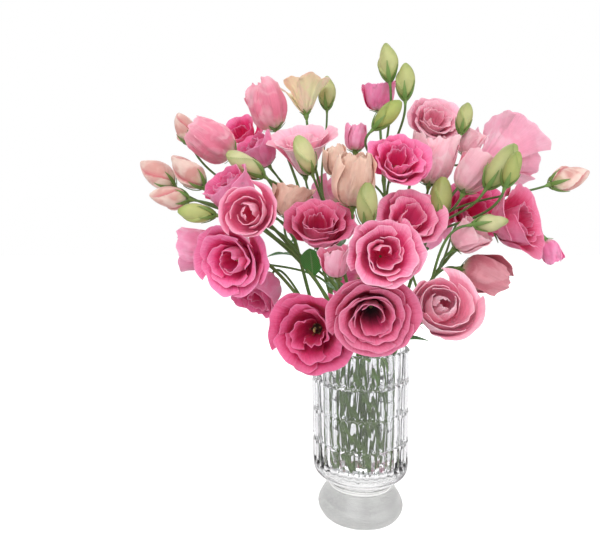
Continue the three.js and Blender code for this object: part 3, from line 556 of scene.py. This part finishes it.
def bloom(name):
    """A bloom: five outer petals spaced evenly, then the others one by one inwards, each a golden
    angle on from the last, and the heart in the middle."""
    kind, _, _, _, tint = HEADS[name]
    _, count, stages = KINDS[kind]
    look = {**PLAIN, **PETALS[kind], "count": count, **LOOKS.get(name, {})}
    head = head_frame(name)
    rng = np.random.default_rng(int(name[-2:]) * 7 + look["draw"])
    parts = []
    for k in range(look["count"]):
        draw = rng.random(10)
        depth = k / (look["count"] - 1)
        if k < OUTER_PETALS:
            middle = OUTER_STEP * k
        else:
            middle = GOLDEN_STEP * k + 20 * (draw[7] - 0.5)
        parts.append(petal(head, between(stages, depth * look["core"]), depth, middle, look, draw))
    if kind in HEART["top"] and not look["shut"]:
        parts += heart(head, kind, rng.random(8))
    return piece(name + "_petals", parts, petal_material(tint), name)


def rolled(head, kind, rows, sides, rolls, chance, **marks):
    """A rolled bud: the kind's cubic turned round its way, where the radius steps down across each
    petal's edge, the edges wind round the bud as they rise, and two sines make it a little lumpy.
    Its rim mark, along each petal's edge, carries painted shade there on a green bud as a darker
    green, and its inside mark, just past the edge, carries painted shade in the folds of a coloured
    bud as its deeper inside colour."""
    profile = KINDS[kind][2][0][0]
    t = np.linspace(0, 1, rows)[:, None]
    a = np.linspace(0, 2 * np.pi, sides, endpoint=False)[None, :]
    radial = cubic(profile, t) * head[4]
    turn = (rolls * (a / (2 * np.pi)) + 0.9 * t + chance) % 1
    step = 0.26 * (turn**2 - 0.4) * np.sin(np.pi * np.clip(t, 0, 0.96)) ** 0.6
    lump = (0.06 * np.sin(2 * a + 5 * chance + 2 * t) + 0.03 * np.sin(5 * a + 7 * t)) * t
    radius = radial[..., 0] * (1 + step + lump)
    # Painted shade: rim darkens a green bud's edges, and inside deepens a coloured bud's folds.
    return lathe(placed(head, radius, a, radial[..., 1]), reach=t, across=turn * 2 - 1, rim=turn**7,
                 inside=smooth(0.3, 0.0, turn), chance=chance, **marks)


def bud(name):
    """A coloured bud, rolled up."""
    tint = HEADS[name][4]
    chance = (int(name[-2:]) * 0.37) % 1
    body = rolled(head_frame(name), "bud", 36, 100, 3, chance)
    return piece(name + "_petals", [body], petal_material(tint), name, sharp=35)


# ---------------------------------------------------------------- stems, sepals and leaves

# How many sepals a head has, and how far up its profile they reach: by kind, and on the others.
SEPALS = 5
SEPAL_LENGTH = {"green": 0.42, "bud": 0.36}
OPEN_SEPAL_LENGTH = 0.2


def sepals(name, chance):
    """The green cup under a head and its five narrow sepals. The cup widens from the stalk with
    five faint ribs. A sepal follows the head's own profile a little outside it, narrows to a
    point, and bends away at its tip."""
    kind = HEADS[name][0]
    head = head_frame(name)
    profile = KINDS[kind][2][0][0]
    wide = 2.2 if kind == "green" else 3.0
    rise = np.linspace(0, 1, 9)[:, None]
    a = np.linspace(0, 2 * np.pi, 15, endpoint=False)[None, :]
    radius = 1.2 + (wide - 1.2) * smooth(0, 0.8, rise) - 1.2 * smooth(0.85, 1, rise)
    radius = radius * (1 + 0.06 * np.cos(5 * a) * rise)
    parts = [lathe(placed(head, radius, a, -CALYX + rise * (CALYX + 0.6)), tone=0.55, reach=rise,
                   chance=chance)]
    bend = 0.3 if kind in SEPAL_LENGTH else 0.8
    t = np.linspace(0, 1, 13)[:, None]
    s = np.linspace(-1, 1, 5)[None, :]
    away = 0.4 + bend * t**2
    half = (1.5 + 1.0 * np.sin(np.pi * np.clip(t * 0.8 + 0.1, 0, 1))) * (1 - t**1.3) + 0.15
    for k in range(SEPALS):
        long = SEPAL_LENGTH.get(kind, OPEN_SEPAL_LENGTH) * (0.85 + 0.3 * ((k * 0.37 + chance) % 1))
        radial = cubic(profile, np.clip(t * long, 0, 1)) * head[4]
        radius = radial[..., 0] + away + 0.2 * (1 - s * s) + np.maximum(0, 2.2 - radial[..., 0])
        height = radial[..., 1] - 2.2 * (1 - t) ** 2 - 0.6 * away * t
        angle = 2 * np.pi * (k + 0.5) / SEPALS + s * half / np.maximum(radius, 1.5)
        angle = angle + 0.25 * (chance - 0.5) * t
        parts.append(shell(placed(head, radius, angle, height), 0.5, tone=0.6, reach=t,
                           across=s, chance=chance))
    return parts


def curve_to(start, start_way, end, end_way, slack, steps):
    """The handles and the points of the cubic that leaves start along one way and reaches end
    along another."""
    far = np.linalg.norm(end - start)
    handles = [start, start + start_way * slack[0] * far, end - end_way * slack[1] * far, end]
    return handles, cubic(handles, np.linspace(0, 1, steps + 1))


def leaf(start, way, length, width, chance):
    """A leaf: a middle line that leaves along way and droops with the square of the distance, a
    half width that is widest two fifths along, a keel, and a slow wave along both edges."""
    way = unit(way)
    across = unit(np.cross(way, UP))
    t = np.linspace(0, 1, 25)[:, None, None]
    s = np.linspace(-1, 1, 11)[None, :, None]
    half = 1.2 * (1 - t) + 0.25 * t + width / 2 * np.sin(np.pi * t**0.75)
    middle = start + way * length * t - UP * 0.28 * length * t * t
    wave = 0.05 * half * np.sin(9 * t + 5 * chance) * s**2
    surface = middle + across * s * half + UP * (0.22 * half * s * s + wave)
    return shell(surface, 0.5, tone=0.3, reach=t[..., 0], across=s[..., 0], chance=chance)


# The steps of a stem up to the mouth, of its stalk from there to the head, and of a side branch.
WET_STEPS = 11
STALK_STEPS = 40
BRANCH_STEPS = 25


def neck_of(name):
    """The end of a head's stalk, under its green cup, and the way that it points there."""
    base, way = head_frame(name)[:2]
    return base - way * CALYX, way


def at_turn(radius, turn, z):
    """The point at a radius from the axis, a turn in degrees and a height."""
    turn = np.radians(turn)
    return np.array([radius * np.cos(turn), radius * np.sin(turn), z])


def spray(number, ring, turn, bears, leaves, slack=SLACK):
    """A whole stem: the cut stalk in the water, which is straight up to the mouth and has a knot
    where each branch leaves, its side branches, the sepals under every head, the green buds and
    the leaves."""
    foot_radius, mouth_radius = RINGS[ring]
    foot = at_turn(foot_radius, turn - STEM["spiral"], STEM["foot_z"])
    mouth = at_turn(mouth_radius, turn, STEM["mouth_z"])
    rng = np.random.default_rng(100 + number)
    main, *others = bears
    handles, line = curve_to(mouth, unit(mouth - foot), *neck_of(main), slack, STALK_STEPS)
    below = foot + (mouth - foot) * np.linspace(0, 1, WET_STEPS + 1)[:-1, None]
    line = np.concatenate([below, line])
    count = len(line)
    taper = np.concatenate([np.full(WET_STEPS, STEM["thick"]),
                            np.linspace(STEM["thick"], STEM["thin"], STALK_STEPS + 1)])
    knots = 1 + 0.22 * sum(
        np.exp(-((np.arange(count) - WET_STEPS - STALK_STEPS * bears[name]) / 0.9) ** 2)
        for name in others)
    parts = [rod(line, taper * knots, 12, tone=0.0, chance=rng.random(),
                 reach=np.linspace(0, 1, count))]
    swell = 1 + 0.25 * np.exp(-np.arange(BRANCH_STEPS + 1) / 1.5)
    for name in others:
        share = bears[name]
        ahead = unit(cubic(handles, min(share + 0.01, 1)) - cubic(handles, share - 0.01))
        _, line = curve_to(cubic(handles, share), ahead, *neck_of(name), SLACK, BRANCH_STEPS)
        parts.append(rod(line, BRANCH * swell, 10, tone=0.1, chance=rng.random(),
                         reach=np.linspace(0.4, 1, BRANCH_STEPS + 1)))
    for name in bears:
        chance = rng.random()
        parts += sepals(name, chance)
        if name.startswith("green"):
            parts.append(rolled(head_frame(name), "green", 32, 72, 2, chance,
                                tone=1.0 + HEADS[name][4]))
    for share, way, length, width in leaves:
        parts.append(leaf(cubic(handles, share), way, length, width, rng.random()))
    return piece(f"spray_{number:02d}", parts, MATERIALS["greenery"], f"stem_{number:02d}",
                 sharp=45)


# ---------------------------------------------------------------- vase and water

def body_radius(z):
    """The wall's outer radius at a height above the shoulder."""
    rise = (z - VASE["shoulder_z"]) / (VASE["height"] - VASE["shoulder_z"])
    return VASE["shoulder"] + (VASE["mouth"] - VASE["shoulder"]) * rise


def cut_radius(z, a):
    """The fluted wall: round ribs that meet in sharp valleys, |cos| of half the flutes' number
    times the angle, cut by V grooves that hang a little lower in the middle of each rib."""
    rib = np.abs(np.cos(VASE["flutes"] / 2 * a))
    fade = smooth(VASE["shoulder_z"], VASE["shoulder_z"] + VASE["flute_fade"], z)
    radius = body_radius(z) - VASE["flute_depth"] * (1 - rib) * fade
    for groove in VASE["grooves"]:
        level = groove + VASE["groove_sag"] * (1 - 2 * rib)
        near = np.clip(1 - np.abs(z - level) / VASE["groove_half"], 0, 1)
        radius = radius - VASE["groove_depth"] * near
    return radius


def rounded(points, steps):
    """A smooth line through points: a Catmull-Rom curve in the parameter of their chord lengths."""
    p = np.asarray(points, float)
    p = np.concatenate([[2 * p[0] - p[1]], p, [2 * p[-1] - p[-2]]])
    out = []
    for k in range(1, len(p) - 2):
        t = np.linspace(0, 1, steps, endpoint=False)[:, None]
        m0, m1 = (p[k + 1] - p[k - 1]) / 2, (p[k + 2] - p[k]) / 2
        out.append((2 * t**3 - 3 * t**2 + 1) * p[k] + (t**3 - 2 * t**2 + t) * m0
                   + (-2 * t**3 + 3 * t**2) * p[k + 1] + (t**3 - t**2) * m1)
    return np.concatenate(out + [p[-2:-1]])


def turned(radius, z, sides):
    """The rings that radii at heights make when they are turned round Z."""
    a = np.linspace(0, 2 * np.pi, sides, endpoint=False)
    radius, z = np.broadcast_arrays(radius, z, np.zeros(sides))[:2]
    return np.stack([radius * np.cos(a), radius * np.sin(a), z], -1)


def turned_line(points, sides):
    """The rings of a smooth line through points of (radius, z), turned round Z."""
    line = rounded(points, 6)
    return turned(line[:, :1], line[:, 1:], sides)


def vase():
    """The glass: one closed profile turned round Z, from the foot up the outside, over the rounded
    lip and down the inside to the thick floor. It casts no shadow, so the stems inside are lit."""
    sides = VASE["flutes"] * 8
    a = np.linspace(0, 2 * np.pi, sides, endpoint=False)
    z = np.linspace(*VASE["wall_z"], 150)[:, None]
    rings = np.concatenate([turned_line(VASE["foot"], sides), turned(cut_radius(z, a), z, sides),
                            turned_line(VASE["lip"], sides)])
    made = piece("glass_vase", [lathe(rings)], MATERIALS["glass"], "vase", sharp=28)
    made.visible_shadow = False


def water():
    """The water: it fills the inside up to a level that climbs a little at the glass, and like the
    glass it casts no shadow."""
    top = WATER["top"]
    surface = np.array([
        (42.6, 100), (43.2, top + WATER["climb"]), (42.4, top + WATER["climb"] / 3), (40.5, top),
        (20, top - 0.1), (2, top - 0.1)])
    rings = np.concatenate([turned_line(WATER["floor"], 144),
                            turned(surface[:, :1], surface[:, 1:], 144)])
    made = piece("vase_water", [lathe(rings)], MATERIALS["water"], "water", sharp=40)
    made.visible_shadow = False


# ---------------------------------------------------------------- finishes

def linear(colour):
    """A screen colour of 0 to 255 as linear light, with alpha 1."""
    c = np.array(colour, float) / 255
    c = np.where(c <= 0.04045, c / 12.92, ((c + 0.055) / 1.055) ** 2.4)
    return (*c.tolist(), 1.0)


class Tree:
    """A short way to add and join nodes in a tree."""

    def __init__(self, tree):
        self.tree = tree

    def add(self, kind, inputs=None, **settings):
        """A node of that kind, with its settings, and with its inputs set or linked by name."""
        node = self.tree.nodes.new(kind)
        for key, value in settings.items():
            setattr(node, key, value)
        for key, value in (inputs or {}).items():
            self.put(value, node.inputs[key])
        return node

    def put(self, value, socket):
        """A link where value is a socket, and the socket's own value otherwise."""
        if isinstance(value, bpy.types.NodeSocket):
            self.tree.links.new(value, socket)
        else:
            socket.default_value = value

    def mark(self, name):
        """The value of one of the piece's own marks."""
        return self.add("ShaderNodeAttribute", attribute_name=name).outputs["Fac"]

    def math(self, operation, *values):
        """The result of a Math node."""
        node = self.add("ShaderNodeMath", operation=operation)
        for socket, value in zip(node.inputs, values):
            self.put(value, socket)
        return node.outputs[0]

    def plus(self, a, b):
        """a + b."""
        return self.math("ADD", a, b)

    def minus(self, a, b):
        """a - b."""
        return self.math("SUBTRACT", a, b)

    def times(self, a, b):
        """a times b."""
        return self.math("MULTIPLY", a, b)

    def noise(self, place, scale, **values):
        """The value of a noise of that scale at a place."""
        inputs = {"Vector": place, "Scale": scale, **values}
        return self.add("ShaderNodeTexNoise", inputs).outputs["Fac"]

    def place(self):
        """The Object coordinates, which are metres from the middle of the foot's underside."""
        return self.add("ShaderNodeTexCoord").outputs["Object"]

    def height(self, place):
        """The height of a place."""
        return self.add("ShaderNodeSeparateXYZ", {0: place}).outputs["Z"]

    def scaled(self, colour, amount):
        """A colour times an amount."""
        node = self.add("ShaderNodeVectorMath", {0: colour, "Scale": amount}, operation="SCALE")
        return node.outputs[0]

    def step(self, value, low, high, to_low=0.0, to_high=1.0):
        """value carried smoothly from the range low to high to the range to_low to to_high."""
        return self.add("ShaderNodeMapRange", {
            "Value": value, "From Min": low, "From Max": high, "To Min": to_low, "To Max": to_high},
            interpolation_type="SMOOTHSTEP").outputs["Result"]

    def mix(self, share, a, b):
        """Colour b over colour a by a share."""
        node = self.add("ShaderNodeMix", data_type="RGBA")
        self.put(share, node.inputs[0])
        self.put(a, node.inputs[6])
        self.put(b, node.inputs[7])
        return node.outputs[2]


def shade(name):
    """One of the shared colours as linear light."""
    return linear(SHADES[name])


def new_group(name, inputs):
    """A node group that takes those inputs, given as (name, default), where a default of four
    numbers is a colour, and gives a colour, a roughness and a relief."""
    group = bpy.data.node_groups.new(name, "ShaderNodeTree")
    for label, default in inputs:
        kind = "NodeSocketFloat" if isinstance(default, float) else "NodeSocketColor"
        socket = group.interface.new_socket(label, in_out="INPUT", socket_type=kind)
        socket.default_value = default
    for label, kind in (("Colour", "Color"), ("Roughness", "Float"), ("Relief", "Float")):
        group.interface.new_socket(label, in_out="OUTPUT", socket_type="NodeSocket" + kind)
    tree = Tree(group)
    return group, tree, tree.add("NodeGroupInput").outputs, tree.add("NodeGroupOutput").inputs


def petal_group():
    """Petal colour. Inside, the throat's colour gives way to the inside's towards the lip, further
    out on inner petals if Depth is large. Outside, a green base gives way to a blotched colour.
    The lip is pale, and the rim is pale partly as the petal's own margin and partly as a painted
    highlight along its edge. Streaks run from base to lip, and each petal is a little lighter or
    darker than the next. On a rolled bud the inside colour is painted shade in its folds. Where the
    tone mark is below zero, the heart has its own greens."""
    group, tree, given, out = new_group("petal_skin", [
        ("Throat", linear((125, 0, 60))), ("Inside", linear((200, 40, 90))),
        ("Outside", linear((215, 120, 150))), ("Lip", linear((240, 170, 190))),
        ("Streaks", 0.5), ("Depth", 0.5)])
    reach, across, chance = tree.mark("reach"), tree.mark("across"), tree.mark("chance")
    tone = tree.mark("tone")
    place = tree.place()
    along = tree.add("ShaderNodeCombineXYZ", {
        "X": tree.times(across, 11.0), "Y": tree.times(reach, 0.8), "Z": tree.times(chance, 31.0)})
    streak = tree.noise(along.outputs[0], 2.0, Detail=3.0, Roughness=0.6)
    mottle = tree.noise(place, 55.0, Detail=4.0, Roughness=0.55)
    blotch = tree.noise(place, 62.0, Detail=2.0, Distortion=0.8)
    crease = tree.noise(place, 170.0, Detail=3.0, Distortion=0.6)
    uneven = tree.minus(streak, 0.5)
    wash = tree.plus(reach, tree.times(uneven, 0.3))
    near_lip = tree.step(wash, 0.6, 1.1)

    throat = tree.mix(tree.step(tone, 0.3, 0.8, 0.4, 1.0), given["Inside"], given["Throat"])
    deeper = tree.times(tree.math("POWER", tone, 5.0), tree.minus(given["Depth"], 0.3))
    inside = tree.mix(tree.step(wash, 0.05, tree.plus(0.3, deeper)), throat, given["Inside"])
    inside = tree.mix(tree.times(near_lip, 0.6), inside, given["Lip"])
    outside = tree.mix(tree.step(wash, 0.0, 0.35), shade("petal_base"), given["Outside"])
    outside = tree.mix(tree.step(blotch, 0.42, 0.66, 0.0, 0.6), outside, given["Lip"])
    outside = tree.mix(tree.times(near_lip, 0.5), outside, given["Lip"])
    # On a rolled bud the inside mark lies just past each petal's edge, so there the inside colour is
    # painted shade in the fold.
    colour = tree.mix(tree.mark("inside"), outside, inside)
    # Painted highlight: the pale line along every edge is partly the petal's own pale margin and
    # partly a painted highlight where the edges catch the light.
    edge = tree.times(tree.mark("rim"), tree.step(mottle, 0.3, 0.7, 0.2, 0.7))
    colour = tree.mix(edge, colour, given["Lip"])
    light = tree.plus(tree.times(uneven, given["Streaks"]),
                      tree.times(tree.minus(mottle, 0.5), 0.25))
    light = tree.plus(light, tree.times(tree.minus(chance, 0.5), 0.14))
    colour = tree.scaled(colour, tree.plus(1.0, light))

    green = tree.mix(tree.step(reach, 0.6, 0.95), shade("ovary"), shade("style"))
    green = tree.mix(tree.step(reach, 1.05, 1.15), green, shade("anther"))
    is_heart = tree.math("LESS_THAN", tone, -0.5)
    tree.put(tree.mix(is_heart, colour, green), out["Colour"])
    tree.put(tree.step(mottle, 0.3, 0.7, 0.42, 0.58), out["Roughness"])
    tree.put(tree.plus(streak, tree.times(crease, 1.6)), out["Relief"])
    return group


def green_group():
    """Green skin, by the tone mark: stalks, then sepals and leaves, then buds that pale from green
    to cream. Stalks are darker and deeper green inside the vase, as painted shade that fades out
    just above its lip. Leaves have a pale midrib and side veins, and buds are greener at both ends,
    with painted shade as a darker green along their petals' edges, where the crevices lie."""
    group, tree, given, out = new_group("green_skin", [
        ("Stalk", shade("stalk")), ("Leaf", shade("leaf")), ("Bud", shade("bud")),
        ("Bud tip", shade("bud_tip"))])
    reach, across, chance = tree.mark("reach"), tree.mark("across"), tree.mark("chance")
    tone = tree.mark("tone")
    place = tree.place()
    height = tree.height(place)
    mottle = tree.noise(place, 120.0, Detail=4.0)

    # Painted shade: stalks darker and deeper green inside the vase, fading out just above its lip.
    stalk = tree.mix(tree.step(height, 0.10, 0.17), shade("stalk_in_vase_shade"), given["Stalk"])
    stalk = tree.mix(reach, stalk, shade("stalk_end"))
    sepal = tree.mix(tree.step(reach, 0.1, 1.0), given["Stalk"], shade("sepal_tip"))
    colour = tree.mix(tree.step(tone, 0.4, 0.6), stalk, sepal)

    from_rib = tree.math("ABSOLUTE", across)
    slant = tree.minus(tree.times(reach, 15.0), tree.times(from_rib, 4.0))
    wave = tree.math("SINE", tree.times(slant, 3.14))
    veins = tree.math("POWER", tree.math("ABSOLUTE", wave), 0.35)
    blade = tree.mix(tree.times(veins, tree.step(from_rib, 0.0, 0.12)), shade("vein"),
                     given["Leaf"])
    is_leaf = tree.times(tree.math("GREATER_THAN", tone, 0.2), tree.math("LESS_THAN", tone, 0.4))
    colour = tree.mix(is_leaf, colour, blade)

    bud = tree.mix(tree.minus(tone, 1.0), given["Bud"], given["Bud tip"])
    off_middle = tree.math("ABSOLUTE", tree.minus(reach, 0.5))
    bud = tree.mix(tree.step(off_middle, 0.1, 0.5, 0.0, 0.55), bud, shade("bud_end"))
    # Painted shade: a darker green along each rolled petal's edge, where the crevice lies.
    bud = tree.mix(tree.times(tree.mark("rim"), 0.6), bud, shade("bud_crevice_shade"))
    colour = tree.mix(tree.math("GREATER_THAN", tone, 0.9), colour, bud)
    light = tree.plus(tree.times(mottle, 0.4), tree.times(tree.minus(chance, 0.5), 0.2))
    tree.put(tree.scaled(colour, tree.plus(0.8, light)), out["Colour"])
    tree.put(tree.step(mottle, 0.3, 0.7, 0.4, 0.55), out["Roughness"])
    tree.put(tree.plus(tree.times(mottle, 0.5), tree.times(veins, is_leaf)), out["Relief"])
    return group


def glass_group():
    """Pressed glass: clear with a faint grey-violet tint above the neck, and smoky and a little
    frosted in the solid foot, by height."""
    group, tree, given, out = new_group("glass_skin", [
        ("Wall", (0.9, 0.9, 0.92, 1)), ("Foot", (0.84, 0.84, 0.83, 1))])
    place = tree.place()
    ripple = tree.noise(place, 45.0, Detail=2.0)
    up = tree.step(tree.plus(tree.height(place), tree.times(ripple, 0.004)), 0.032, 0.046)
    tree.put(tree.mix(up, given["Foot"], given["Wall"]), out["Colour"])
    tree.put(tree.minus(0.24, tree.times(up, 0.225)), out["Roughness"])
    tree.put(ripple, out["Relief"])
    return group


# How far a relief of 1 stands out, in metres.
BUMP_DISTANCE = 0.0012


def finish(name, **values):
    """A material whose Principled shader has those plain values on its own sockets, with its node
    tree and its shader."""
    made = bpy.data.materials.new(name)
    made.use_nodes = True
    tree = Tree(made.node_tree)
    shader = next(n for n in made.node_tree.nodes if n.type == "BSDF_PRINCIPLED")
    for label, value in values.items():
        shader.inputs[label.replace("_", " ")].default_value = value
    return made, tree, shader


def skin(name, group, colours, relief, **values):
    """A finish whose colour, roughness and relief come from a shared group, given its colours."""
    made, tree, shader = finish(name, **values)
    node = tree.add("ShaderNodeGroup", colours, node_tree=group)
    tree.put(node.outputs["Colour"], shader.inputs["Base Color"])
    tree.put(node.outputs["Roughness"], shader.inputs["Roughness"])
    bump = tree.add("ShaderNodeBump", {
        "Height": node.outputs["Relief"], "Strength": relief, "Distance": BUMP_DISTANCE})
    tree.put(bump.outputs[0], shader.inputs["Normal"])
    return made


PETAL_SKIN = petal_group()
PETAL_FINISH = {
    "Sheen_Weight": 0.1, "Sheen_Roughness": 0.5, "Specular_IOR_Level": 0.3,
    "Subsurface_Weight": 0.35, "Subsurface_Scale": 0.002, "Subsurface_Radius": (1.0, 0.7, 0.8),
}
PETAL_RELIEF = 0.4
STREAKS = 0.16
# How far out the throat's colour reaches on the innermost petals, in plum and in other tints.
PLUM_DEPTH = 0.95
THROAT_DEPTH = 0.5
PETAL_MATERIALS = {}


def petal_material(tint):
    """The petal finish of a tint, made once."""
    if tint not in PETAL_MATERIALS:
        colours = dict(zip(("Throat", "Inside", "Outside", "Lip"), map(linear, TINTS[tint])))
        colours["Streaks"] = STREAKS
        colours["Depth"] = PLUM_DEPTH if tint == "plum" else THROAT_DEPTH
        PETAL_MATERIALS[tint] = skin("petal_" + tint, PETAL_SKIN, colours, PETAL_RELIEF,
                                     **PETAL_FINISH)
    return PETAL_MATERIALS[tint]


MATERIALS = {
    "greenery": skin("greenery", green_group(), {}, relief=0.25, Specular_IOR_Level=0.35,
                     Subsurface_Weight=0.05, Subsurface_Scale=0.002),
    "glass": skin("pressed_glass", glass_group(), {}, relief=0.12, IOR=1.5,
                  Transmission_Weight=1.0),
    "water": finish("clear_water", Base_Color=(0.96, 0.98, 0.965, 1), Roughness=0.0, IOR=1.33,
                    Transmission_Weight=1.0)[0],
}

# ---------------------------------------------------------------- building

vase()
water()
for stem_number, stem in enumerate(SPRAYS, 1):
    spray(stem_number, *stem)
for head_name in HEADS:
    if head_name.startswith("bloom"):
        bloom(head_name)
    elif head_name.startswith("bud"):
        bud(head_name)

# ---------------------------------------------------------------- studio

# Levels where 1 is white, and the floor's half side in metres. The floor glows by to_camera where
# the camera sees it and by through_glass where glass does, and the air is at least as bright as
# its own two. As a lamp, the air rises from low to high with the direction's height, times side at
# either side.
FLOOR = {"half": 40.0, "grey": 0.75, "to_camera": 0.6, "through_glass": 0.35}
AIR = {"low": 0.62, "high": 0.85, "side": 0.5, "to_camera": 1.0, "through_glass": 0.68}
# Each soft box: its place in metres, its side and its power in watts. All point at the bunch.
LAMPS = {
    "key_box": ((-0.9, -1.7, 1.3), 1.6, 24),
    "fill_box": ((1.5, -1.3, 0.7), 1.6, 13),
    "back_box": ((0.3, 1.5, 1.3), 1.2, 11),
}
BUNCH = (0, 0, 0.25)
# The camera is level, and instead of a tilt its view is shifted down by a thirtieth of the
# picture's width. Its place is in metres, and its lens and sensor in millimetres.
CAMERA = {"place": (-0.060, -0.450, 0.2545), "lens": 27, "sensor": 36, "shift": -1 / 30}


def seen(tree, to_camera, through_glass):
    """A level for rays from the camera and another for rays that have come through glass."""
    ray = tree.add("ShaderNodeLightPath").outputs
    return tree.plus(tree.times(ray["Is Camera Ray"], to_camera),
                     tree.times(ray["Is Transmission Ray"], through_glass))


def backdrop():
    """A pale level floor, wide enough to reach the skyline."""
    x = np.array([-FLOOR["half"], FLOOR["half"]])
    points = np.stack([*np.meshgrid(x, x), np.zeros((2, 2))], -1)
    mesh = bpy.data.meshes.new("studio_floor")
    mesh.from_pydata(points.reshape(-1, 3).tolist(), [], [(0, 1, 3, 2)])
    made = bpy.data.objects.new("studio_floor", mesh)
    bpy.context.scene.collection.objects.link(made)
    grey = (FLOOR["grey"],) * 3
    paper, tree, shader = finish("floor_paper", Base_Color=(*grey, 1), Roughness=0.9,
                                 Emission_Color=(1, 1, 1, 1))
    tree.put(seen(tree, FLOOR["to_camera"], FLOOR["through_glass"]),
             shader.inputs["Emission Strength"])
    mesh.materials.append(paper)


def air():
    """The world: an even white that is a little brighter above and in the middle."""
    world = bpy.data.worlds.new("studio_air")
    world.use_nodes = True
    bpy.context.scene.world = world
    world.node_tree.nodes.clear()
    tree = Tree(world.node_tree)
    way = tree.add("ShaderNodeTexCoord").outputs["Generated"]
    parts = tree.add("ShaderNodeSeparateXYZ", {0: way}).outputs
    rise = tree.step(parts["Z"], -0.2, 0.9, AIR["low"], AIR["high"])
    sides = tree.step(tree.math("ABSOLUTE", parts["X"]), 0.4, 0.9, 1.0, AIR["side"])
    level = tree.math("MAXIMUM", tree.times(rise, sides),
                      seen(tree, AIR["to_camera"], AIR["through_glass"]))
    background = tree.add("ShaderNodeBackground", {"Color": (1, 1, 1, 1), "Strength": level})
    output = tree.add("ShaderNodeOutputWorld")
    tree.put(background.outputs[0], output.inputs["Surface"])


def lamp(name, place, size, power):
    """A square soft box that points at the bunch."""
    light = bpy.data.lights.new(name, "AREA")
    light.shape = "SQUARE"
    light.size = size
    light.energy = power
    made = bpy.data.objects.new(name, light)
    bpy.context.scene.collection.objects.link(made)
    made.location = place
    way = Vector(BUNCH) - Vector(place)
    made.rotation_euler = way.to_track_quat("-Z", "Y").to_euler()


def camera():
    """The camera, level and facing +Y."""
    scene = bpy.context.scene
    data = bpy.data.cameras.new("camera")
    data.sensor_width = CAMERA["sensor"]
    data.lens = CAMERA["lens"]
    data.shift_y = CAMERA["shift"]
    made = bpy.data.objects.new("camera", data)
    scene.collection.objects.link(made)
    made.location = CAMERA["place"]
    made.rotation_euler = (np.pi / 2, 0, 0)
    scene.camera = made
    scene.view_settings.view_transform = "Standard"


backdrop()
air()
for lamp_name, lamp_values in LAMPS.items():
    lamp(lamp_name, *lamp_values)
camera()
